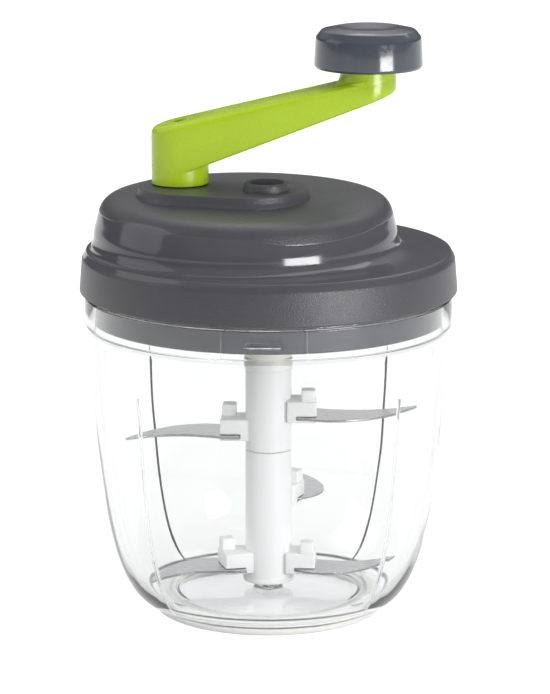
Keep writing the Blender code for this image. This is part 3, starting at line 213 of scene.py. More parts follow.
# Each blade: height, azimuth, share of the free radius that its tip reaches, shaft piece that holds it
BLADES = (
    (67.2 * MM, radians(0), 0.95, "upper"),
    (60.2 * MM, radians(177), 0.895, "upper"),
    (35.0 * MM, radians(68), 0.90, "lower"),
    (13.5 * MM, radians(-4), 1.0, "lower"),
    (13.5 * MM, radians(196), 1.0, "lower"),
)
CUTTING_SHARES = ((0.40, -1.62), (0.75, -1.14), (0.98, 1.0))
BACK_SHARES = ((0.98, 1.0), (0.82, 0.48), (0.59, 0.05), (0.30, 0.67))
ROOT_SHARE = -0.62

# Camera, as fitted to the photograph
CAMERA_DISTANCE = 1.1413
CAMERA_HEIGHT = 0.3496
CAMERA_PITCH = radians(12.795)
CAMERA_LENS = 178.34
CAMERA_SHIFT = 0.0094


# Shapes

def linked(name, data):
    """An object in the scene over a mesh, a lamp or a camera."""
    obj = bpy.data.objects.new(name, data)
    bpy.context.scene.collection.objects.link(obj)
    return obj


def new_object(name, bm):
    mesh = bpy.data.meshes.new(name)
    bm.to_mesh(mesh)
    bm.free()
    return linked(name, mesh)


def rounded(corners):
    """An open outline of corners: x, y and, where one is rounded, its radius in millimetres."""
    outline = []
    for i, corner in enumerate(corners):
        point = Vector(corner[:2])
        if len(corner) < 3:
            outline.append(tuple(point))
            continue
        radius = corner[2] * MM
        back = (Vector(corners[i - 1][:2]) - point).normalized()
        onward = (Vector(corners[i + 1][:2]) - point).normalized()
        half = back.angle(onward) / 2
        centre = point + (back + onward).normalized() * radius / sin(half)
        start = point + back * radius / tan(half) - centre
        sweep = pi - 2 * half
        turn = -1 if back.x * onward.y - back.y * onward.x > 0 else 1
        steps = max(2, ceil(sweep / ARC_STEP))
        for step in range(steps + 1):
            angle = turn * sweep * step / steps
            outline.append((
                centre.x + start.x * cos(angle) - start.y * sin(angle),
                centre.y + start.x * sin(angle) + start.y * cos(angle),
            ))
    return outline


def bezier(start, first, second, end):
    points = []
    for i in range(CURVE_POINTS):
        t = i / (CURVE_POINTS - 1)
        weights = ((1 - t) ** 3, 3 * t * (1 - t) ** 2, 3 * t * t * (1 - t), t ** 3)
        points.append(tuple(
            sum(w * p[axis] for w, p in zip(weights, (start, first, second, end))) for axis in (0, 1)
        ))
    return points


def smooth_line(points):
    """A smooth curve through points, as a drawn spline would run."""
    line = []
    spots = [Vector(p) for p in points]
    for i in range(len(spots) - 1):
        start, end = spots[i:i + 2]
        before, after = spots[max(i - 1, 0)], spots[min(i + 2, len(spots) - 1)]
        for step in range(SPLINE_STEPS):
            t = step / SPLINE_STEPS
            line.append(tuple(
                start * (1 - t) ** 2 * (1 + 2 * t) + end * t * t * (3 - 2 * t)
                + (end - before) / 2 * t * (1 - t) ** 2 - (after - start) / 2 * t * t * (1 - t)
            ))
    line.append(tuple(spots[-1]))
    return line


def skinned(name, rings, closed=False):
    """A skin over rings of points. One point is a pole; a closed skin joins its last ring to its first."""
    bm = bmesh.new()
    rows = [[bm.verts.new(point) for point in ring] for ring in rings]
    pairs = list(zip(rows, rows[1:]))
    if closed:
        pairs.append((rows[-1], rows[0]))
    for upper, lower in pairs:
        count = max(len(upper), len(lower))
        for i in range(count):
            j = (i + 1) % count
            if len(upper) == 1:
                bm.faces.new((upper[0], lower[i], lower[j]))
            elif len(lower) == 1:
                bm.faces.new((upper[i], lower[0], upper[j]))
            else:
                bm.faces.new((upper[i], lower[i], lower[j], upper[j]))
    bmesh.ops.recalc_face_normals(bm, faces=bm.faces)
    return new_object(name, bm)


def edited(obj, change):
    """Runs a change on an object's mesh."""
    bm = bmesh.new()
    bm.from_mesh(obj.data)
    change(bm)
    bm.to_mesh(obj.data)
    bm.free()
    return obj


def close_ends(bm):
    """Fills the open ends of a skin."""
    bmesh.ops.holes_fill(bm, edges=[edge for edge in bm.edges if edge.is_boundary])
    bmesh.ops.recalc_face_normals(bm, faces=bm.faces)


def weld(bm):
    bmesh.ops.remove_doubles(bm, verts=bm.verts, dist=0.01 * MM)
    bmesh.ops.recalc_face_normals(bm, faces=bm.faces)


def quarter(steps):
    """The sine and cosine at even steps of a quarter turn."""
    return [(sin(pi / 2 * i / steps), cos(pi / 2 * i / steps)) for i in range(steps + 1)]


def share(value):
    """A value kept from 0 to 1."""
    return min(1.0, max(0.0, value))


def ring(radius, height, centre=(0, 0), steps=ROUND_STEPS):
    turn = 2 * pi / steps
    return [(centre[0] + radius * cos(i * turn), centre[1] + radius * sin(i * turn), height)
            for i in range(steps)]


def turned(name, profile, centre=(0, 0), steps=ROUND_STEPS):
    """A turned solid from a (radius, height) profile: open between two poles, else closed on itself."""
    rings = [[(*centre, height)] if radius == 0 else ring(radius, height, centre, steps)
             for radius, height in profile]
    return skinned(name, rings, closed=profile[0][0] != 0)


def tube(inner, outer, bottom, top, centre, steps=ROD_STEPS):
    edge = 0.3 * MM
    profile = [(outer - edge, top), (outer, top - edge), (outer, bottom + edge), (outer - edge, bottom),
               (inner, bottom), (inner, top)]
    return turned("tube", profile, centre, steps)


def rod(radius, bottom, top, centre=(0, 0), steps=ROD_STEPS):
    return turned("rod", [(0, top), (radius, top), (radius, bottom), (0, bottom)], centre, steps)


def hexagon_bar(flats, bottom, top):
    """A six-sided bar, measured across its flats and turned as the frame's is."""
    turn = Matrix.Rotation(radians(10), 4, "Z")
    bar = rod(flats / sqrt(3), bottom, top, steps=6)
    bar.data.transform(turn)
    return bar


def block(low, high, edge=0.0, azimuth=0.0):
    """A box with rounded edges, turned about the bowl's axis."""
    bm = bmesh.new()
    size = Vector(high) - Vector(low)
    middle = (Vector(high) + Vector(low)) / 2
    bmesh.ops.create_cube(bm, size=1, matrix=Matrix.Translation(middle) @ Matrix.Diagonal((*size, 1)))
    if edge:
        bmesh.ops.bevel(bm, geom=bm.edges, offset=edge, segments=3, profile=0.5, affect="EDGES")
    bmesh.ops.transform(bm, matrix=Matrix.Rotation(azimuth, 4, "Z"), verts=bm.verts)
    return new_object("block", bm)


def plan_ring(circles, inset, height):
    """A ring round a row of circles, as a stretched band would lie, drawn in by an inset."""
    points = []
    for i in range(2 * ROUND_STEPS):
        angle = pi * i / ROUND_STEPS
        out = Vector((cos(angle), sin(angle)))
        x, y, radius = max(circles, key=lambda c: c[0] * out.x + c[1] * out.y + c[2])
        point = Vector((x, y)) + out * (radius - inset)
        points.append((point.x, point.y, height(point.x) if callable(height) else height))
    return points


def settle(obj):
    """Turns an object and its modifiers into a plain mesh."""
    mesh = bpy.data.meshes.new_from_object(obj.evaluated_get(bpy.context.evaluated_depsgraph_get()))
    obj.modifiers.clear()
    obj.data = mesh
    return obj


def combine(target, tool, operation):
    boolean = target.modifiers.new("shape", "BOOLEAN")
    boolean.operation = operation
    boolean.solver = "EXACT"
    boolean.object = tool
    settle(target)
    bpy.data.objects.remove(tool, do_unlink=True)


def cut(target, *tools):
    for tool in tools:
        combine(target, tool, "DIFFERENCE")
    return target


def merge(target, *tools):
    for tool in tools:
        combine(target, tool, "UNION")
    return target


def gather(target, *others):
    """Puts other shapes into the target's mesh as they are."""
    bm = bmesh.new()
    for obj in (target, *others):
        bm.from_mesh(obj.data)
    bm.to_mesh(target.data)
    bm.free()
    for obj in others:
        bpy.data.objects.remove(obj, do_unlink=True)
    return target


def dress(obj, material):
    """Gives an object one material all over."""
    obj.data.materials.clear()
    obj.data.materials.append(material)
    for polygon in obj.data.polygons:
        polygon.material_index = 0


def finish_piece(obj, material, body, slot, *nodes, crease=CREASE):
    """Shades a piece, sharp over an angle in degrees, gives it its material, and ties it to the frame."""
    dress(obj, material)
    for polygon in obj.data.polygons:
        polygon.use_smooth = True
    obj.data.set_sharp_from_angle(angle=radians(crease))
    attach(obj, body)
    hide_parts(*nodes)


# Materials

def colour(hex_value):
    """An sRGB hex colour as linear RGBA."""
    channels = [int(hex_value[i:i + 2], 16) / 255 for i in (1, 3, 5)]
    return (*[c / 12.92 if c <= 0.04045 else ((c + 0.055) / 1.055) ** 2.4 for c in channels], 1.0)


def add(tree, kind, sockets=None, **settings):
    """Adds a node with its settings, and sets or feeds its sockets."""
    made = tree.nodes.new(kind)
    for key, value in settings.items():
        setattr(made, key, value)
    for name, value in (sockets or {}).items():
        if isinstance(value, (bpy.types.Node, bpy.types.NodeSocket)):
            feed(tree, value, made, name)
        else:
            made.inputs[name].default_value = value
    return made


def feed(tree, value, node, name):
    """Feeds a node's socket from another socket, or from a node's first output."""
    source = value.outputs[0] if isinstance(value, bpy.types.Node) else value
    tree.links.new(source, node.inputs[name])


def empty_tree(owner):
    owner.use_nodes = True
    owner.node_tree.nodes.clear()
    return owner.node_tree


def new_surface(name, **sockets):
    """A material with one Principled shader, and its tree and Object coordinates in millimetres."""
    material = bpy.data.materials.new(name)
    tree = empty_tree(material)
    shader = add(tree, "ShaderNodeBsdfPrincipled", {k.replace("_", " "): v for k, v in sockets.items()})
    add(tree, "ShaderNodeOutputMaterial", {"Surface": shader})
    place = add(tree, "ShaderNodeTexCoord")
    in_mm = add(tree, "ShaderNodeMapping", {"Vector": place.outputs["Object"], "Scale": (1 / MM,) * 3})
    return material, tree, shader, in_mm


def maths(tree, operation, *values):
    """A sum, or another operation, of values or sockets."""
    return add(tree, "ShaderNodeMath", dict(enumerate(values)), operation=operation)


def vector(tree, **parts):
    return add(tree, "ShaderNodeCombineXYZ", parts)


def split(tree, value):
    return add(tree, "ShaderNodeSeparateXYZ", {"Vector": value}).outputs


def mix(tree, fac, low, high):
    """Mixes two colours, given as RGBA or sockets."""
    return add(tree, "ShaderNodeMix", {0: fac, 6: low, 7: high}, data_type="RGBA").outputs[2]


def mix_level(tree, fac, low, high):
    return add(tree, "ShaderNodeMix", {0: fac, 2: low, 3: high}, data_type="FLOAT").outputs[0]


def noise(tree, place, size, detail, stretch=(1, 1, 1)):
    """Noise with features of about one size, in millimetres, stretched along an axis."""
    spread = add(tree, "ShaderNodeMapping", {"Vector": place, "Scale": tuple(1 / s for s in stretch)})
    return add(tree, "ShaderNodeTexNoise", {"Vector": spread, "Scale": 1 / size, "Detail": detail})


def between(tree, fac, low, high, from_low=0, from_high=1):
    """Maps a value to a range."""
    return add(tree, "ShaderNodeMapRange", {
        "Value": fac, "From Min": from_low, "From Max": from_high, "To Min": low, "To Max": high,
    })


def tint(tree, fac, dark, light):
    """Mixes two hex colours by a value."""
    return mix(tree, fac, colour(dark), colour(light))


def bump(tree, shader, height, depth, strength):
    """Raises the surface by a height pattern, up to a depth in millimetres."""
    made = add(tree, "ShaderNodeBump", {"Height": height, "Distance": depth * MM, "Strength": strength})
    feed(tree, made, shader, "Normal")


def moulded(name, tints, shine, waves, **sockets):
    """A material with its colours, roughness and bumps each by noise: size and detail, then the range."""
    material, tree, shader, place = new_surface(name, **sockets)
    feed(tree, tint(tree, noise(tree, place, *tints[:2]), *tints[2:]), shader, "Base Color")
    feed(tree, between(tree, noise(tree, place, *shine[:2]), *shine[2:]), shader, "Roughness")
    bump(tree, shader, noise(tree, place, *waves[:2]), *waves[2:])
    return material


def clear_san():
    # Styrene acrylonitrile, polished mould: clear, with a painted shade line at its foot, and slow waves
    # where the melt flowed.
    material, tree, shader, place = new_surface("clear_san", IOR=1.52)
    # Painted shade: the wall is coloured dark grey in a thin band where it meets the base, standing in for
    # shade in its joint with the foot ring. Painted highlight: the sides of the bead and its pad are made
    # partly matt white, to show as bright lines.
    spot = split(tree, place)
    level = vector(tree, X=spot["X"], Y=spot["Y"])
    radius = add(tree, "ShaderNodeVectorMath", {0: level}, operation="LENGTH").outputs["Value"]
    # Painted highlight: lower transmission on the sides of the pad and bead leaves them partly matt white, as
    # bright lines
    off_painted_glint = maths(tree, "ABSOLUTE", maths(tree, "SUBTRACT", radius, (NECK_RADIUS + PAD_RISE / 2) / MM))
    feed(tree, between(tree, off_painted_glint, 0.72, 1.0, 0.10, 0.17), shader, "Transmission Weight")
    # Painted shade: the glass is coloured dark grey in a band round its foot, outside the base radius
    off_painted_shade = maths(tree, "ABSOLUTE", maths(tree, "SUBTRACT", spot["Z"], PAINTED_SHADE_LINE))
    off_painted_shade = maths(tree, "MAXIMUM", off_painted_shade, maths(tree, "SUBTRACT", BASE_RADIUS / MM, radius))
    outside_painted_shade = between(tree, off_painted_shade, 0.0, 1.0, 0.3, 0.8)
    feed(tree, tint(tree, outside_painted_shade, "#1C1E22", "#FBFCFC"), shader, "Base Color")
    feed(tree, between(tree, noise(tree, place, 3.0, 4.0), 0.0, 0.03, 0.45, 0.8), shader, "Roughness")
    bump(tree, shader, noise(tree, place, 16.0, 1.0, stretch=(1, 1, 2.2)), 0.22, 0.5)
    # Light for shadows and matt surfaces passes straight through.
    path = add(tree, "ShaderNodeLightPath").outputs
    lamp = maths(tree, "MAXIMUM", path["Is Shadow Ray"], path["Is Diffuse Ray"])
    clear = add(tree, "ShaderNodeBsdfTransparent", {"Color": colour("#FDFEFE")})
    mixed = add(tree, "ShaderNodeMixShader", {0: lamp, 1: shader, 2: clear})
    feed(tree, mixed, tree.nodes["Material Output"], "Surface")
    return material


def lid_abs():
    # Grey ABS in a mould with two finishes: spark-eroded grain on the top and the skirt, polish between them.
    # The polished band is coloured a little lighter than the grain, a painted reflection.
    material, tree, shader, place = new_surface("lid_abs", IOR=1.54)
    spot = split(tree, place)
    line = add(tree, "ShaderNodeFloatCurve", {"Value": between(tree, spot["X"], 0.0, 1.0, *GLOSS_SPAN)})
    ends = line.mapping.curves[0].points
    marks = [((x - GLOSS_SPAN[0]) / (GLOSS_SPAN[1] - GLOSS_SPAN[0]),
              (z - GLOSS_RANGE[0]) / (GLOSS_RANGE[1] - GLOSS_RANGE[0])) for x, z in GLOSS_LINE]
    ends[0].location = (0.0, marks[0][1])
    ends[1].location = (1.0, marks[-1][1])
    for mark in marks:
        ends.new(*mark)
    line.mapping.update()
    over = maths(tree, "SUBTRACT", spot["Z"], between(tree, line, *GLOSS_RANGE))
    above = between(tree, over, 1.0, 0.0, -0.15, 0.15)
    ledge = between(tree, spot["X"], LEDGE_HEIGHT / MM - 2.1, LEDGE_HEIGHT / MM - 0.4, -59, 10)
    foot = maths(tree, "SUBTRACT", spot["Z"], ledge)
    below = between(tree, foot, 0.0, 1.0, -0.2, 0.2)
    gloss = maths(tree, "MULTIPLY", above, below)
    mottle = noise(tree, place, 9.0, 3.0)
    grained = tint(tree, mottle, "#444449", "#4B4B50")
    # Painted reflection: the polished band's colour is set lighter than the grained one's
    polished = tint(tree, mottle, "#4D4D53", "#535359")
    feed(tree, mix(tree, gloss, grained, polished), shader, "Base Color")
    # The real grain is 0.2 mm across; it is drawn at 0.4 mm to show.
    grain = noise(tree, place, 0.4, 2.0)
    rough = between(tree, grain, 0.29, 0.41, 0.3, 0.7)
    shine = between(tree, noise(tree, place, 5.0, 4.0), 0.09, 0.15, 0.35, 0.65)
    feed(tree, mix_level(tree, gloss, rough, shine), shader, "Roughness")
    peaks = maths(tree, "MULTIPLY", grain, between(tree, gloss, 1.0, 0.02))
    bump(tree, shader, peaks, 0.15, 0.9)
    return material


def blade_steel():
    # Stainless steel strip, ground flat: fine lines along the blade. Painted light and shade: faces turned up
    # are coloured lighter, and the cut edges and underside darker.
    material, tree, shader, place = new_surface("blade_steel", Metallic=1.0)
    lines = noise(tree, place, 0.45, 3.0, stretch=(26, 1, 1))
    # Painted shade: the colour darkens as a face turns away from up, so the edges and underside look shaded
    # and the top lit
    facing = split(tree, add(tree, "ShaderNodeNewGeometry").outputs["Normal"])
    flat = between(tree, facing["Z"], 0.0, 1.0, 0.55, 0.85)
    edges, faces = tint(tree, lines, "#85878A", "#9A9C9F"), tint(tree, lines, "#B4B5B8", "#CFD0D2")
    feed(tree, mix(tree, flat, edges, faces), shader, "Base Color")
    feed(tree, between(tree, lines, 0.20, 0.36, 0.3, 0.7), shader, "Roughness")
    bump(tree, shader, lines, 0.012, 0.5)
    return material


# The lid's lower half: darker ABS with a satin mould finish.
PLUG_ABS = moulded(
    "plug_abs", (14.0, 3.0, "#393A3F", "#4C4D52"), (2.5, 3.0, 0.28, 0.40, 0.35, 0.65), (0.8, 2.0, 0.03, 0.4),
    IOR=1.54,
)
# Lime ABS, polished: even colour with a little light carried under the skin, and faint moulding waves.
LIME_ABS = moulded(
    "lime_abs", (14.0, 2.0, "#ABCA19", "#B2D222"), (3.0, 4.0, 0.20, 0.30, 0.35, 0.65), (6.0, 1.0, 0.03, 0.35),
    IOR=1.54, Subsurface_Weight=0.12, Subsurface_Radius=(0.6, 1.0, 0.2), Subsurface_Scale=1.2 * MM,
)
# Slate polypropylene, high polish, with hair marks from handling in its shine.
KNOB_PP = moulded(
    "knob_pp", (7.0, 3.0, "#434952", "#4B515A"), (2.0, 5.0, 0.12, 0.22, 0.35, 0.70), (5.0, 1.0, 0.02, 0.3),
    IOR=1.50, Coat_Weight=0.4, Coat_Roughness=0.06,
)
# White polypropylene for the blade shaft: waxy, slightly see-through, soft shine.
WHITE_PP = moulded(
    "white_pp", (10.0, 2.0, "#FAFAF9", "#FEFEFE"), (2.5, 4.0, 0.28, 0.40, 0.35, 0.65), (4.0, 2.0, 0.02, 0.3),
    IOR=1.49, Subsurface_Weight=0.25, Subsurface_Radius=(1, 1, 1), Subsurface_Scale=1.5 * MM,
)
# Natural acetal: cream, dense and slippery, with a satin skin.
CREAM_POM = moulded(
    "cream_pom", (6.0, 2.0, "#E6E3D8", "#EDEAE0"), (2.0, 3.0, 0.30, 0.42, 0.35, 0.65), (1.5, 2.0, 0.015, 0.3),
    IOR=1.48,
)
# White acetal for the gear train, moulded, with a trace of grease in its shine.
GEAR_POM = moulded(
    "gear_pom", (5.0, 2.0, "#EAEAE6", "#F1F1EE"), (3.0, 4.0, 0.22, 0.45, 0.35, 0.65), (1.2, 2.0, 0.015, 0.3),
    IOR=1.48,
)
# Zinc-plated steel for the fasteners and the pin.
SCREW_STEEL = moulded(
    "screw_steel", (1.2, 4.0, "#A9AAAC", "#BFC0C1"), (0.8, 4.0, 0.24, 0.42), (0.5, 2.0, 0.01, 0.4),
    Metallic=1.0,
)
# Pale silicone rubber: matt, with a soft edge glow and a dusting of wear.
SILICONE = moulded(
    "silicone", (3.0, 4.0, "#E8E7E3", "#F1F0ED"), (1.0, 3.0, 0.50, 0.68, 0.3, 0.7), (0.6, 2.0, 0.02, 0.5),
    IOR=1.43, Sheen_Weight=0.15, Subsurface_Weight=0.2, Subsurface_Radius=(1, 0.9, 0.7),
    Subsurface_Scale=1.0 * MM,
)


# Geometry Nodes

def new_tree(name, **inputs):
    """A Geometry Nodes tree with a geometry input and output, and inputs named by kind."""
    tree = bpy.data.node_groups.new(name, "GeometryNodeTree")
    tree.interface.new_socket("Geometry", in_out="OUTPUT", socket_type="NodeSocketGeometry")
    for kind, labels in {"Geometry": ["Geometry"], **inputs}.items():
        for label in labels:
            tree.interface.new_socket(label, in_out="INPUT", socket_type="NodeSocket" + kind)
    return tree, tree.nodes.new("NodeGroupInput").outputs, tree.nodes.new("NodeGroupOutput").inputs[0]


def run_tree(obj, tree, **values):
    """Applies a tree to an object with its inputs set by identifier."""
    modifier = obj.modifiers.new(tree.name, "NODES")
    modifier.node_group = tree
    for item in tree.interface.items_tree:
        if item.in_out == "INPUT" and item.name in values:
            modifier[item.identifier] = values[item.name]
    return settle(obj)


def placed(tree, shape, offset):
    """Moves a made shape."""
    return add(tree, "GeometryNodeTransform", {"Geometry": shape, "Translation": offset})


def set_copies(tree, inputs, result, points, shape, facing):
    """Sets copies of a shape on points, made real and dressed."""
    copies = add(tree, "GeometryNodeInstanceOnPoints", {
        "Points": points, "Instance": shape, "Rotation": facing,
    })
    real = add(tree, "GeometryNodeRealizeInstances", {0: copies})
    dressed = add(tree, "GeometryNodeSetMaterial", {"Geometry": real, "Material": inputs["Material"]})
    tree.links.new(dressed.outputs[0], result)
    return tree


def fin_pattern():
    """Sets copies of one fin round the axis, every second one leaning on from an even spacing."""
    tree, inputs, result = new_tree("bowl_fins", Int=["Fins"], Float=["First", "Lean"], Material=["Material"])
    points = add(tree, "GeometryNodePoints", {"Count": inputs["Fins"]})
    index = add(tree, "GeometryNodeInputIndex")
    even = maths(tree, "MULTIPLY", index, maths(tree, "DIVIDE", 2 * pi, inputs["Fins"]))
    swing = maths(tree, "MULTIPLY", maths(tree, "MODULO", index, 2.0), inputs["Lean"])
    angle = maths(tree, "ADD", maths(tree, "ADD", even, swing), inputs["First"])
    return set_copies(tree, inputs, result, points, inputs["Geometry"], vector(tree, Z=angle))


def screw_pattern():
    """Sets a threaded screw on each point: a cross-recessed head below the point, and its shank above."""
    sizes = ("Head radius", "Head height", "Shank radius", "Length", "Pitch", "Turn over")
    tree, inputs, result = new_tree("threaded_screws", Float=sizes, Material=["Material"])
    wide, tall, shank_radius, length, pitch, turn_over = (inputs[size] for size in sizes)
    face = maths(tree, "MULTIPLY", wide, 0.78)
    head = add(tree, "GeometryNodeMeshCone", {
        "Vertices": 40, "Radius Top": wide, "Radius Bottom": face, "Depth": tall,
    })
    at_head = vector(tree, Z=maths(tree, "MULTIPLY", tall, -1.0))
    solid = placed(tree, head, at_head)
    recess = add(tree, "GeometryNodeMeshBoolean", {"Mesh 1": solid}, operation="DIFFERENCE")
    slot = [maths(tree, "MULTIPLY", wide, ratio) for ratio in (1.1, 0.24)]
    for x, y in (slot, reversed(slot)):
        bar = add(tree, "GeometryNodeMeshCube", {"Size": vector(tree, X=x, Y=y, Z=tall)})
        feed(tree, placed(tree, bar, at_head), recess, "Mesh 2")
    shank = add(tree, "GeometryNodeMeshCylinder", {"Vertices": 24, "Radius": shank_radius, "Depth": length})
    threaded = maths(tree, "MULTIPLY", length, 0.86)
    helix = add(tree, "GeometryNodeCurveSpiral", {
        "Resolution": 20, "Rotations": maths(tree, "DIVIDE", threaded, pitch), "Start Radius": shank_radius,
        "End Radius": shank_radius, "Height": threaded,
    })
    section = add(tree, "GeometryNodeCurvePrimitiveCircle", {
        "Resolution": 4, "Radius": maths(tree, "MULTIPLY", pitch, 0.34),
    })
    thread = add(tree, "GeometryNodeCurveToMesh", {
        "Curve": helix, "Profile Curve": section, "Fill Caps": True,
    })
    screw = add(tree, "GeometryNodeJoinGeometry")
    for part in (
        recess, placed(tree, shank, vector(tree, Z=maths(tree, "MULTIPLY", length, 0.5))),
        placed(tree, thread, vector(tree, Z=maths(tree, "MULTIPLY", length, 0.12))),
    ):
        feed(tree, part, screw, 0)
    points = add(tree, "GeometryNodeMeshToPoints", {"Mesh": inputs["Geometry"]})
    return set_copies(tree, inputs, result, points, screw, vector(tree, X=turn_over))


# Bowl

def side_curve(inset, base_height):
    """The bowl's side from its base to its neck, drawn in by the inset."""
    span = SIDE_RADIUS - BASE_RADIUS
    rise = SIDE_TOP - BASE_TOP
    base = (BASE_RADIUS - inset, base_height)
    low_height = max(base_height, BASE_TOP + SIDE_LOW_SHARES[1] * rise)
    low = (BASE_RADIUS + SIDE_LOW_SHARES[0] * span - inset, low_height)
    high = (BASE_RADIUS + SIDE_HIGH_SHARES[0] * span - inset, BASE_TOP + SIDE_HIGH_SHARES[1] * rise)
    return bezier(base, low, high, (SIDE_RADIUS - inset, SIDE_TOP))


def inner_radius(height):
    """The bowl's inner radius at a height."""
    wall = side_curve(BOWL_WALL, FLOOR_TOP)
    for (low_radius, low), (high_radius, high) in zip(wall, wall[1:]):
        if low <= height <= high:
            return low_radius + (high_radius - low_radius) * (height - low) / (high - low)
    return SIDE_RADIUS - BOWL_WALL


def make_bowl(material):
    inside = side_curve(BOWL_WALL, FLOOR_TOP)
    outside = side_curve(0.0, BASE_TOP)
    neck_bore = NECK_RADIUS - NECK_WALL
    recess = BASE_RADIUS - FOOT_WIDTH
    floor = [(0, BOSS_TOP), *rounded([
        (0, BOSS_TOP), (BOSS_RADIUS, BOSS_TOP, 0.5), (BOSS_RADIUS, FLOOR_TOP, 0.8), (inside[0]),
    ])[1:-1]]
    top = rounded([
        inside[-1], (neck_bore, NECK_BOTTOM, 0.8), (neck_bore, RIM_TOP, 0.6),
        (SIDE_RADIUS, RIM_TOP, 0.6), (SIDE_RADIUS, STEP_TOP, 0.5), (NECK_RADIUS, STEP_TOP, 0.5),
        (NECK_RADIUS, NECK_BOTTOM, 0.6), outside[-1],
    ])[1:-1]
    under = rounded([
        outside[0], (recess, BASE_TOP, 0.4), (recess - 1.1 * MM, UNDERSIDE, 0.5), (0, UNDERSIDE),
    ])[1:]
    bowl = turned("bowl_shell", [*floor, *inside, *top, *reversed(outside), *under])
    merge(bowl, make_fins(material), make_lock_pad(), make_bead())
    cut(bowl, rod(PIN_BORE, FLOOR_TOP - 1.2 * MM, BOSS_TOP + OVERRUN))
    finish_piece(bowl, material, "bowl", "clear_plastic", "bowl", crease=24)


def make_fins(material):
    """The fins inside the wall: half round, from the floor to a tapered tip."""
    wall = [p for p in side_curve(BOWL_WALL, FLOOR_TOP) if p[1] < FIN_TOP - FIN_TAPER]
    wall += [(inner_radius(h), h) for h in (FIN_TOP - FIN_TAPER, FIN_TOP - FIN_TAPER / 2, FIN_TOP)]
    half_turn = [pi * (i / 8 - 0.5) for i in range(9)]
    rings = []
    for radius, height in wall:
        left = (FIN_TOP - height) / FIN_TAPER
        depth = FIN_DEPTH * share(left) ** 0.5 + 0.05 * MM
        section = [(radius - depth * cos(angle), FIN_WIDTH / 2 * sin(angle), height) for angle in half_turn]
        section += [(radius + BOWL_WALL / 2, side * FIN_WIDTH / 2, height) for side in (1, -1)]
        rings.append(section)
    low = [(x, y, z - BOWL_WALL / 2) for x, y, z in rings[0]]
    fin = edited(skinned("bowl_fins", [low, *rings]), close_ends)
    return run_tree(fin, fin_pattern(), Fins=FIN_COUNT, First=FIN_FIRST, Lean=2 * FIN_LEAN, Material=material)


def make_lock_pad():
    """The shallow pad round the lock bead, as tall as the neck band."""
    steps = 16
    section = []
    for depth, order in ((PAD_RISE, 1), (-0.8 * MM, -1)):
        radius, widened = NECK_RADIUS + depth, PAD_RISE - depth
        left, right = PAD_LEFT - widened, PAD_RIGHT + widened
        angles = [asin((left + (right - left) * i / steps) / NECK_RADIUS) for i in range(steps + 1)]
        section += [(radius * sin(angle), -radius * cos(angle)) for angle in angles[::order]]
    rings = [[(x, y, z) for x, y in section] for z in (NECK_BOTTOM + 0.3 * MM, STEP_TOP - 0.3 * MM)]
    return edited(skinned("lock_pad", rings), close_ends)


def make_bead():
    """The bead on the front of the neck that the lid's lock rides over."""
    half = (BEAD_LENGTH - BEAD_HEIGHT) / 2
    height = (STEP_TOP + NECK_BOTTOM) / 2
    rings = []
    for inset, depth in (
        (0.85 * MM, BEAD_RISE - 0.4 * MM), (0.62 * MM, BEAD_RISE), (0.3 * MM, BEAD_RISE), (0.0, 0.3 * MM),
        (-0.1 * MM, -0.7 * MM),
    ):
        radius = BEAD_HEIGHT / 2 - inset
        rings.append([(BEAD_OFFSET + copysign(half, x) + x, -NECK_RADIUS - depth, height + y)
                      for x, y, _ in ring(radius, 0, steps=32)])
    front = [(BEAD_OFFSET, -NECK_RADIUS - BEAD_RISE + 0.4 * MM, height)]
    return skinned("lock_bead", [front, *rings, [(BEAD_OFFSET, -NECK_RADIUS + 0.7 * MM, height)]])


def make_foot_ring(material):
    """The soft band under the bowl, with a rib on top that keys into it."""
    outer = FOOT_HIGH.x
    inner = outer - FOOT_WIDTH
    middle = (outer + inner) / 2
    near, far = middle - 1.0 * MM, middle + 1.0 * MM
    top = BASE_TOP - FIT_GAP
    profile = rounded([
        (inner, 1.0 * MM), (inner, top, 0.2), (near, top), (near, FOOT_HIGH.z), (far, FOOT_HIGH.z),
        (far, top), (outer, top, 0.5), (outer, 0, 0.5), (inner, 0, 0.4), (inner, 0.9 * MM),
    ])
    finish_piece(turned("foot_band", profile), material, "bowl", "silicone", "foot_ring")


# Lid

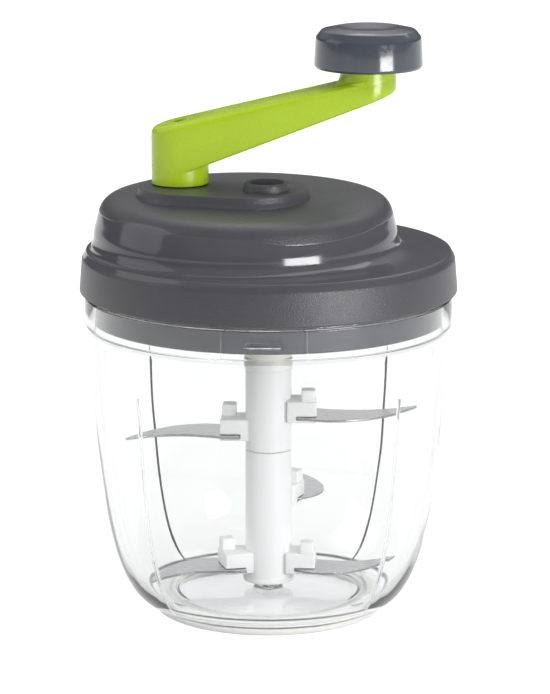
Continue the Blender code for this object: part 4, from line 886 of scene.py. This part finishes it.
def make_lid_cover(material):
    """The cover: a cap set to the left on a round ledge and skirt, the raised plate, and the feed port."""
    inside = LID_RADIUS - LID_WALL
    outline = smooth_line([(radius * MM, CAP_TOP - drop * MM) for radius, drop in CAP_LINE])
    outline += rounded([
        outline[-1], (RIM_EDGE_RADIUS - 0.1 * MM, LEDGE_HEIGHT, 0.4),
        (LID_RADIUS - 0.9 * MM, LEDGE_HEIGHT - 2.6 * MM, 2.4),
        (LID_RADIUS, SKIRT_BOTTOM, 0.4), (inside, SKIRT_BOTTOM, 0.4), (inside, LEDGE_HEIGHT - 4.5 * MM),
    ])[1:]
    rings = []
    for radius, height in outline:
        ledge = (RIM_EDGE_RADIUS - radius) / (RIM_EDGE_RADIUS - CAP_RADIUS)
        if height < LEDGE_HEIGHT - 0.6 * MM:
            ledge = 0
        centre = (-CAP_OFFSET * share(ledge), 0)
        rings.append([(*centre, height)] if radius == 0 else ring(radius, height, centre))
    cover = skinned("lid_shell", dipped(rings))
    under = LEDGE_HEIGHT - LID_WALL
    inner = [
        (0, CAP_TOP - LID_WALL), (44 * MM, CAP_TOP - LID_WALL - 1.2 * MM), (48.5 * MM, CAP_TOP - 7 * MM),
        (50.4 * MM, LEDGE_HEIGHT), (52.0 * MM, under), (59.7 * MM, under), (inside, LEDGE_HEIGHT - 4.5 * MM),
    ]
    lining = skinned("lid_lining", dipped([
        [(-CAP_OFFSET, 0, z)] if r == 0 else ring(r, z, (-CAP_OFFSET if r < CAP_RADIUS else 0, 0))
        for r, z in inner
    ]))
    edited(gather(cover, edited(lining, lambda bm: bmesh.ops.reverse_faces(bm, faces=bm.faces))), weld)
    merge(cover, make_hub_plate(), make_port_ring())
    cut(cover, make_port_bore())
    gather(cover, *make_lid_insides())
    finish_piece(cover, material, "lid", "lid_grey", "lid_cover", "lid_ring", crease=30)


def dipped(rings):
    """Leans the cap down towards the front, less and less towards its foot."""
    def lean(y, z):
        return share(-y / CAP_DIP_SPAN) * share((z - LEDGE_HEIGHT) / (CAP_TOP - LEDGE_HEIGHT))

    return [[(x, y, z - CAP_DIP * lean(y, z)) for x, y, z in points] for points in rings]


def make_hub_plate():
    """The raised plate round the hub and the port, with a tight edge and a drafted side."""
    circles = ((CRANK_X, 0, PLATE_HUB_RADIUS), PLATE_LEFT, PLATE_RIGHT)
    # Inset, and height over the cap's crown, in millimetres
    section = ((1.6, 2.5), (0.5, 2.49), (0.22, 2.41), (0.05, 2.22), (0, 1.95), (-0.25, 0.5), (-0.45, -0.2),
               (-0.8, -0.6), (-1.1, -1.7))
    rings = [plan_ring(circles, inset * MM, CAP_TOP + rise * MM) for inset, rise in section]
    centre = (-19 * MM, -8 * MM)
    return skinned("hub_plate", [[(*centre, PLATE_TOP)], *rings, [(*centre, CAP_TOP - 1.7 * MM)]])


def make_port_ring():
    """The port's rim over the plate."""
    profile = rounded([
        (0, PORT_TOP), (PORT_RADIUS - 0.35 * MM, PORT_TOP, 0.6), (PORT_RADIUS, PLATE_TOP - 0.2 * MM),
        (PORT_RADIUS, PLATE_TOP - 0.8 * MM), (0, PLATE_TOP - 0.8 * MM),
    ])
    return turned("port_ring", profile, PORT, ROD_STEPS)


def make_port_bore():
    """The feed port's hollow: a lip, a funnel, and the spout's bore under it."""
    top = PORT_TOP
    rows = (
        (PORT, PORT_BORE + 0.9 * MM, top + 0.4 * MM), (PORT, PORT_BORE + 0.25 * MM, top - 0.25 * MM),
        (PORT, PORT_BORE, top - 0.9 * MM), (PORT, PORT_BORE - 0.3 * MM, top - 2.4 * MM),
        (SPOUT, SPOUT_BORE, top - 7.0 * MM), (SPOUT, SPOUT_BORE, GEAR_ROOF - OVERRUN),
    )
    rings = [ring(radius, height, centre, ROD_STEPS) for centre, radius, height in rows]
    return skinned("port_bore", [[(*PORT, top + 0.4 * MM)], *rings, [(*SPOUT, GEAR_ROOF - OVERRUN)]])


def make_lid_insides():
    """The cover's own tubes: the crank's bearing, the pinion's bearing, the spout and the screw bosses."""
    roof = CAP_TOP - LID_WALL / 2
    bosses = [tube(1.4 * MM, SCREW_BOSS_RADIUS, GEAR_FLOOR_TOP + FIT_GAP, CAP_TOP - 3.4 * MM, place, 32)
              for place in SCREW_PLACES]
    return [
        tube(5.5 * MM, 8.2 * MM, GEAR_ROOF, roof, (CRANK_X, 0)),
        tube(2.9 * MM, 4.2 * MM, 132.2 * MM, roof, (0, 0)),
        tube(SPOUT_BORE, SPOUT_BORE + SPOUT_WALL, GEAR_FLOOR_LOW - SPOUT_DROP, roof - 1.5 * MM, SPOUT),
        *bosses,
    ]


def make_lid_base(material):
    """The lid's lower half: the gear floor, the plug that enters the bowl, the sleeve and the braces."""
    floor_radius = RIM_EDGE_RADIUS - LID_WALL - 0.5 * MM
    plug_bore = PLUG_RADIUS - PLUG_WALL
    profile = rounded([
        (SLEEVE_BORE, BEARING_TOP), (SLEEVE_RADIUS, BEARING_TOP, 0.4), (SLEEVE_RADIUS, GEAR_FLOOR_TOP, 0.4),
        (floor_radius, GEAR_FLOOR_TOP, 0.3), (floor_radius, GEAR_FLOOR_LOW), (PLUG_RADIUS, GEAR_FLOOR_LOW),
        (PLUG_RADIUS, PLUG_BOTTOM, 0.9), (plug_bore, PLUG_BOTTOM, 0.5), (plug_bore, GEAR_FLOOR_LOW, 1.0),
        (SLEEVE_RADIUS, GEAR_FLOOR_LOW, 1.2), (SLEEVE_RADIUS, SLEEVE_BOTTOM, 0.5),
        (SLEEVE_BORE, SLEEVE_BOTTOM),
    ])
    base = turned("lid_plug", profile)
    spout_hole = SPOUT_BORE + SPOUT_WALL + FIT_GAP
    cut(base, rod(spout_hole, GEAR_FLOOR_LOW - OVERRUN, GEAR_FLOOR_TOP + OVERRUN, SPOUT))
    braces = [block(
        (SLEEVE_RADIUS - OVERRUN, -BRACE_WIDTH / 2, GEAR_FLOOR_LOW - BRACE_DEPTH),
        (PLUG_RADIUS - PLUG_WALL / 2, BRACE_WIDTH / 2, GEAR_FLOOR_LOW + FIT_GAP), 0.3 * MM,
        azimuth=2 * pi * i / BRACE_COUNT,
    ) for i in range(BRACE_COUNT)]
    bearing = tube(4.3 * MM, 7.0 * MM, GEAR_FLOOR_TOP - FIT_GAP, BEARING_TOP, (CRANK_X, 0))
    gather(base, bearing, *braces)
    finish_piece(base, material, "lid", "base_grey", "lid_base")


def make_drive_socket(material):
    radius = SOCKET_HIGH.x
    profile = rounded([
        (0, SOCKET_HIGH.z), (radius, SOCKET_HIGH.z, 0.9), (radius - 0.15 * MM, SOCKET_LOW.z, 0.4),
        (0, SOCKET_LOW.z),
    ])
    socket = turned("drive_sleeve", profile, steps=96)
    mouth = SOCKET_LOW.z + 7.2 * MM
    cut(socket, hexagon_bar(SPINDLE_FLATS + 2 * FIT_GAP, SOCKET_LOW.z - OVERRUN, mouth),
        hexagon_bar(8.0 * MM, mouth - FIT_GAP, SOCKET_HIGH.z + OVERRUN))
    finish_piece(socket, material, "pinion", "cream_plastic", "drive_socket")


# Crank and knob

def make_crank_arm(material):
    """The arm: a band round the hub and the far end, between two sloping planes, with its hub and post."""
    circles = ((CRANK_X, 0, ARM_HALF_WIDTH), (KNOB_X, 0, ARM_HALF_WIDTH - 0.3 * MM))
    length = KNOB_X - CRANK_X
    top_slope = (END_TOP - HUB_TOP) / length
    low_slope = (END_BOTTOM - HUB_UNDERCUT) / length

    def plane(height, slope):
        return lambda x: HUB_BASE + height + slope * (x - CRANK_X)

    low_edge = ARM_EDGE * 0.5
    rings = [
        plan_ring(circles, ARM_EDGE * (1 - sine), plane(HUB_TOP - ARM_EDGE * (1 - cosine), top_slope))
        for sine, cosine in quarter(6)
    ] + [
        plan_ring(circles, low_edge * (1 - cosine), plane(HUB_UNDERCUT + low_edge * (1 - sine), low_slope))
        for sine, cosine in quarter(4)
    ]
    middle = (CRANK_X + KNOB_X) / 2
    top = [(middle, 0, plane(HUB_TOP, top_slope)(middle))]
    bottom = [(middle, 0, plane(HUB_UNDERCUT, low_slope)(middle))]
    arm = skinned("crank_body", [top, *rings, bottom])
    hub = turned("crank_hub", rounded([
        (0, HUB_BASE + 8 * MM), (HUB_RADIUS, HUB_BASE + 8 * MM), (HUB_RADIUS, HUB_BASE, 0.3), (0, HUB_BASE),
    ]), (CRANK_X, 0), steps=128)
    merge(arm, hub, make_knob_post(top_slope))
    recess = rod(RECESS_RADIUS, RECESS_BOTTOM, HUB_BASE + 30 * MM, (CRANK_X, 0), 48)
    bore = rod(SPINDLE_RADIUS + FIT_GAP, HUB_BASE + HUB_UNDERCUT, POST_TOP + OVERRUN, (KNOB_X, 0))
    head_room = rod(5.0 * MM, HUB_BASE + HUB_UNDERCUT, KNOB_BASE - 7.9 * MM, (KNOB_X, 0))
    half = 3.9 * MM
    square = block((CRANK_X - half, -half, HUB_BASE - OVERRUN), (CRANK_X + half, half, GEAR_TOP + FIT_GAP))
    shank = rod(1.2 * MM, GEAR_TOP - FIT_GAP, RECESS_BOTTOM + FIT_GAP, (CRANK_X, 0), 32)
    cut(arm, recess, bore, head_room, square, shank)
    finish_piece(arm, material, "crank", "lime_plastic", "crank_arm", crease=28)


def make_knob_post(slope):
    """The post under the knob, flush with the arm's end and flared onto the arm behind it."""
    foot = HUB_BASE + END_TOP
    rings = [[(KNOB_X, 0, POST_TOP)]]
    section = [(radius, height, 0.0, 0.0) for radius, height in rounded([
        (0, POST_TOP), (POST_RADIUS, POST_TOP, 0.4), (POST_RADIUS, foot + POST_FLARE),
    ])[1:]]
    section += [(POST_RADIUS, foot + POST_FLARE * (1 - sine) - 0.05 * MM, POST_FLARE * (1 - cosine), sine)
                for sine, cosine in quarter(8)]
    section.append((POST_RADIUS, foot - 5.0 * MM, 0.0, 1.0))
    for radius, height, flare, lean in section:
        points = []
        for x, y, z in ring(radius, height, (KNOB_X, 0), 96):
            back = max(0.0, (KNOB_X - x) / radius) ** 1.5
            out = 1 + flare * back / radius
            x, y = KNOB_X + (x - KNOB_X) * out, y * out
            points.append((x, y, z + lean * slope * (x - KNOB_X)))
        rings.append(points)
    rings.append([(KNOB_X, 0, foot - 5.0 * MM)])
    return skinned("knob_post", rings)


def make_knob(material):
    """A round knob with a dished top, hollow below round its spindle."""
    top = KNOB_HIGH.z
    spindle_low = KNOB_LOW.z
    wall = KNOB_RADIUS - KNOB_WALL
    profile = rounded([
        (0, top - KNOB_DISH), (KNOB_RIM * 0.5, top - KNOB_DISH * 0.85, 12), (KNOB_RIM, top, 1.2),
        (15.8 * MM, top - 1.0 * MM, 1.4), (KNOB_RADIUS - 0.5 * MM, top - 3.4 * MM, 1.8),
        (KNOB_RADIUS, KNOB_BASE + 0.9 * MM, 0.9), (KNOB_RADIUS - 0.5 * MM, KNOB_BASE, 0.4),
        (wall, KNOB_BASE, 0.4),
        (wall - 1.0 * MM, KNOB_BASE + KNOB_POCKET, 1.0), (6.4 * MM, KNOB_BASE + KNOB_POCKET, 1.0),
        (6.4 * MM, KNOB_BASE, 0.3), (SPINDLE_RADIUS, KNOB_BASE), (SPINDLE_RADIUS, spindle_low),
        (1.6 * MM, spindle_low), (1.6 * MM, spindle_low + 8.3 * MM), (0, spindle_low + 8.3 * MM),
    ])
    knob = turned("crank_knob", profile, (KNOB_X, 0))
    finish_piece(knob, material, "knob", "knob_grey", "knob", crease=30)


# Blade set

def make_shaft_upper(material):
    profile = rounded([
        (0, COLLAR_TOP), (COLLAR_RADIUS, COLLAR_TOP, 0.7),
        (COLLAR_RADIUS, COLLAR_TOP - COLLAR_HEIGHT + 0.3 * MM, 0.7),
        (SHAFT_RADIUS, COLLAR_TOP - COLLAR_HEIGHT - 0.3 * MM, 0.6),
        (SHAFT_RADIUS, SHAFT_SEAM + FIT_GAP, 0.35), (0, SHAFT_SEAM + FIT_GAP),
    ])
    shaft = turned("shaft_top", profile, steps=128)
    spindle = hexagon_bar(SPINDLE_FLATS, COLLAR_TOP - FIT_GAP, SHAFT_HIGH.z)
    cut(shaft, hexagon_bar(10.6 * MM, SHAFT_SEAM - OVERRUN, SHAFT_SEAM + 9.3 * MM))
    gather(shaft, spindle, *make_holders("upper"))
    finish_piece(shaft, material, "blade_set", "white_plastic", "shaft_upper")


def make_shaft_lower(material):
    profile = rounded([
        (0, SHAFT_SEAM), (SHAFT_RADIUS, SHAFT_SEAM, 0.35),
        (SHAFT_RADIUS, SHAFT_LOW.z + FLANGE_HEIGHT, 0.5), (FLANGE_RADIUS, SHAFT_LOW.z + FLANGE_HEIGHT, 0.4),
        (FLANGE_RADIUS, SHAFT_LOW.z, 0.3), (0, SHAFT_LOW.z),
    ])
    shaft = turned("shaft_foot", profile, steps=128)
    cut(shaft, rod(PIN_BORE, SHAFT_LOW.z - OVERRUN, PIN_HIGH.z + FIT_GAP))
    stub = hexagon_bar(10.0 * MM, SHAFT_SEAM - FIT_GAP, SHAFT_SEAM + 9.0 * MM)
    gather(shaft, stub, *make_holders("lower"))
    finish_piece(shaft, material, "blade_set", "white_plastic", "shaft_lower")


def make_holders(piece):
    """The moulded block and post at each blade's root, slotted for the blade."""
    holders = []
    outer = HOLDER_REACH - HOLDER_POST_SETBACK
    front = HOLDER_POST_SETBACK - HOLDER_FRONT
    slot_half = BLADE_THICKNESS / 2 + FIT_GAP
    for height, azimuth, _, held_by in BLADES:
        if held_by != piece:
            continue
        body = block((SHAFT_RADIUS * 0.8, -HOLDER_FRONT, height - HOLDER_BELOW),
                     (HOLDER_REACH, HOLDER_BACK, height + HOLDER_ABOVE), HOLDER_EDGE, azimuth)
        post = block((outer - HOLDER_POST_WIDTH, front, height + HOLDER_BELOW),
                     (outer, front + HOLDER_POST_WIDTH, height + HOLDER_POST_TOP), HOLDER_EDGE, azimuth)
        cut(body, block((BLADE_ROOT - FIT_GAP, -HOLDER_FRONT - OVERRUN, height - slot_half),
                        (HOLDER_REACH + OVERRUN, HOLDER_BACK + OVERRUN, height + slot_half), azimuth=azimuth))
        holders += [body, post]
    return holders


def make_blades(material):
    """Five blades: a bellied cutting edge ground to a bevel, and a hollow back that sweeps up to the tip."""
    for i, (height, azimuth, reach, _) in enumerate(BLADES, 1):
        tip = (inner_radius(height - BLADE_THICKNESS) - FIN_DEPTH - TIP_CLEARANCE) * reach
        half = BLADE_THICKNESS / 2
        turn = Matrix.Rotation(azimuth, 3, "Z")
        levels = ((0.14 * MM, half), (0.04 * MM, half - 0.06 * MM), (0.0, half - 0.2 * MM), (0.0, -half / 4),
                  (BLADE_GRIND, -half))
        rings = [[turn @ Vector((x, y, height + z)) for x, y in blade_outline(tip, grind)]
                 for grind, z in levels]
        blade = edited(skinned("blade_plate_%d" % i, rings), close_ends)
        finish_piece(blade, material, "blade_set", "stainless_steel", "blade_%d" % i, crease=12)


def blade_outline(tip, grind):
    """The blade in plan, its cutting edge moved in by the grind, which fades at the tip."""
    root = (BLADE_ROOT, ROOT_SHARE * BLADE_HALF_WIDTH)
    cutting = bezier(root, *[(x * tip, y * BLADE_HALF_WIDTH) for x, y in CUTTING_SHARES])
    back = bezier(*[(x * tip, y * BLADE_HALF_WIDTH) for x, y in BACK_SHARES])
    last = len(cutting) - 1
    ground = [(x, y + grind * (1 - (i / last) ** 3)) for i, (x, y) in enumerate(cutting)]
    return [*ground, *back[1:], (BLADE_ROOT, back[-1][1])]


# Fasteners

def make_screws(material):
    """Threaded screws where the frame has plain ones, each seated its head's height in from its end."""
    pattern = screw_pattern()
    # Piece, places, head radius and height, shank radius and length in millimetres, turn, body, nodes
    jobs = (
        ("lid_screws", SCREW_PLACES, (2.8, 2.0, 1.0, 11.0), 0, "lid",
         "lid_screw_1", "lid_screw_2", "lid_screw_3", "lid_screw_4"),
        ("crank_fastener", [(CRANK_X, 0)], (1.9, 1.6, 0.8, 11.0), pi, "crank", "crank_screw"),
        ("knob_fastener", [(KNOB_X, 0)], (4.6, 1.6, 1.2, 8.0), 0, "knob", "knob_screw"),
        ("socket_fastener", [(0, 0)], (3.2, 1.8, 1.0, 8.7), 0, "pinion", "socket_screw"),
    )
    for name, places, sizes, turn_over, body, *nodes in jobs:
        head, head_height, shank, length = [size * MM for size in sizes]
        low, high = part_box(nodes[0])
        seat = high.z - head_height if turn_over else low.z + head_height
        bm = bmesh.new()
        for x, y in places:
            bm.verts.new((x, y, seat))
        screws = run_tree(new_object(name, bm), pattern, **{
            "Head radius": head, "Head height": head_height, "Shank radius": shank, "Length": length,
            "Pitch": 0.9 * MM, "Turn over": float(turn_over), "Material": material,
        })
        finish_piece(screws, material, body, "stainless_steel", *nodes)


# Stage

def make_floor():
    """A pale floor, white to the eye, that keeps the object's shadow and greys to the sides behind glass."""
    bm = bmesh.new()
    bmesh.ops.create_grid(bm, x_segments=1, y_segments=1, size=6.0)
    floor = new_object("floor", bm)
    material = bpy.data.materials.new("studio_floor")
    tree = empty_tree(material)
    aside = maths(tree, "ABSOLUTE", split(tree, add(tree, "ShaderNodeTexCoord").outputs["Object"])["X"])
    # Through glass it falls from pale at 0.45 m aside to dark at 1.2 m.
    through = between(tree, aside, 0.62, 0.14, 0.45, 1.20)
    lift = seen_level(tree, plain=0.0, eye=0.82, mirrored=0.70, through=through)
    matt = add(tree, "ShaderNodeBsdfDiffuse", {"Color": colour("#A6A6A6")})
    glow = add(tree, "ShaderNodeEmission", {"Color": colour("#FFFFFF"), "Strength": lift})
    both = add(tree, "ShaderNodeAddShader", {0: matt, 1: glow})
    add(tree, "ShaderNodeOutputMaterial", {"Surface": both})
    floor.data.materials.append(material)


def seen_level(tree, plain, eye, mirrored, through):
    """A brightness that differs for the camera, for gloss, for glass and for all other rays."""
    path = add(tree, "ShaderNodeLightPath")
    level = plain
    for ray, value in (("Is Glossy Ray", mirrored), ("Is Transmission Ray", through), ("Is Camera Ray", eye)):
        level = mix_level(tree, path.outputs[ray], level, value)
    return level


def light_world():
    """White behind the object for the camera, gloss and glass, softer in front; even light elsewhere."""
    world = bpy.data.worlds.new("studio")
    bpy.context.scene.world = world
    tree = empty_tree(world)
    # Levels by how far a ray points back, +Y, and up, +Z.
    across = split(tree, add(tree, "ShaderNodeTexCoord").outputs["Generated"])
    behind = between(tree, across["Y"], 0.20, 0.62, 0.30, 1.0)
    raised = between(tree, across["Z"], 0.20, 1.25, 0.20, 0.55)
    through = between(tree, across["Y"], 0.62, 0.92, 0.70, 0.95)
    mirrored = maths(tree, "MULTIPLY", behind, raised)
    level = seen_level(tree, plain=0.82, eye=1.0, mirrored=mirrored, through=through)
    sky = add(tree, "ShaderNodeBackground", {"Color": colour("#FFFFFF"), "Strength": level})
    add(tree, "ShaderNodeOutputWorld", {"Surface": sky})


def add_softbox(name, azimuth, elevation, distance, width, height, power, aim=(0, 0, 0.11)):
    """A softbox seen from the object at an azimuth, in degrees, to the camera's right; power in watts."""
    lamp = bpy.data.lights.new(name, "AREA")
    lamp.shape = "RECTANGLE"
    lamp.size = width
    lamp.size_y = height
    lamp.energy = power
    box = linked(name, lamp)
    a, e = radians(azimuth), radians(elevation)
    away = Vector((sin(a) * cos(e), -cos(a) * cos(e), sin(e)))
    box.location = Vector(aim) + away * distance
    box.rotation_euler = away.to_track_quat("Z", "Y").to_euler()


def add_camera():
    data = bpy.data.cameras.new("camera")
    data.lens = CAMERA_LENS
    data.sensor_width = 36.0
    data.shift_x = CAMERA_SHIFT
    data.clip_end = 20.0
    camera = linked("camera", data)
    camera.location = (0, -CAMERA_DISTANCE, CAMERA_HEIGHT)
    camera.rotation_euler = (pi / 2 - CAMERA_PITCH, 0, 0)
    bpy.context.scene.camera = camera


add_camera()
make_floor()
light_world()
add_softbox("strip_right", 40, 0.8, 0.45, 0.21, 0.085, 1.0, aim=(0, 0, 0.13))
add_softbox("overhead", 150, 62, 1.1, 1.1, 0.9, 5.0)
add_softbox("fill_left", -88, 25, 1.2, 0.9, 0.9, 2.2)

make_bowl(clear_san())
make_foot_ring(SILICONE)
make_lid_cover(lid_abs())
make_lid_base(PLUG_ABS)
make_drive_socket(CREAM_POM)
make_crank_arm(LIME_ABS)
make_knob(KNOB_PP)
make_shaft_upper(WHITE_PP)
make_shaft_lower(WHITE_PP)
make_blades(blade_steel())
make_screws(SCREW_STEEL)
# The frame's own meshes that stay in view
for carried, finish in (
    ("drive_gear", GEAR_POM), ("pinion", GEAR_POM), ("pivot_pin", SCREW_STEEL), ("seal_ring", SILICONE),
):
    dress(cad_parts[carried], finish)

bpy.context.scene.view_settings.view_transform = "Standard"
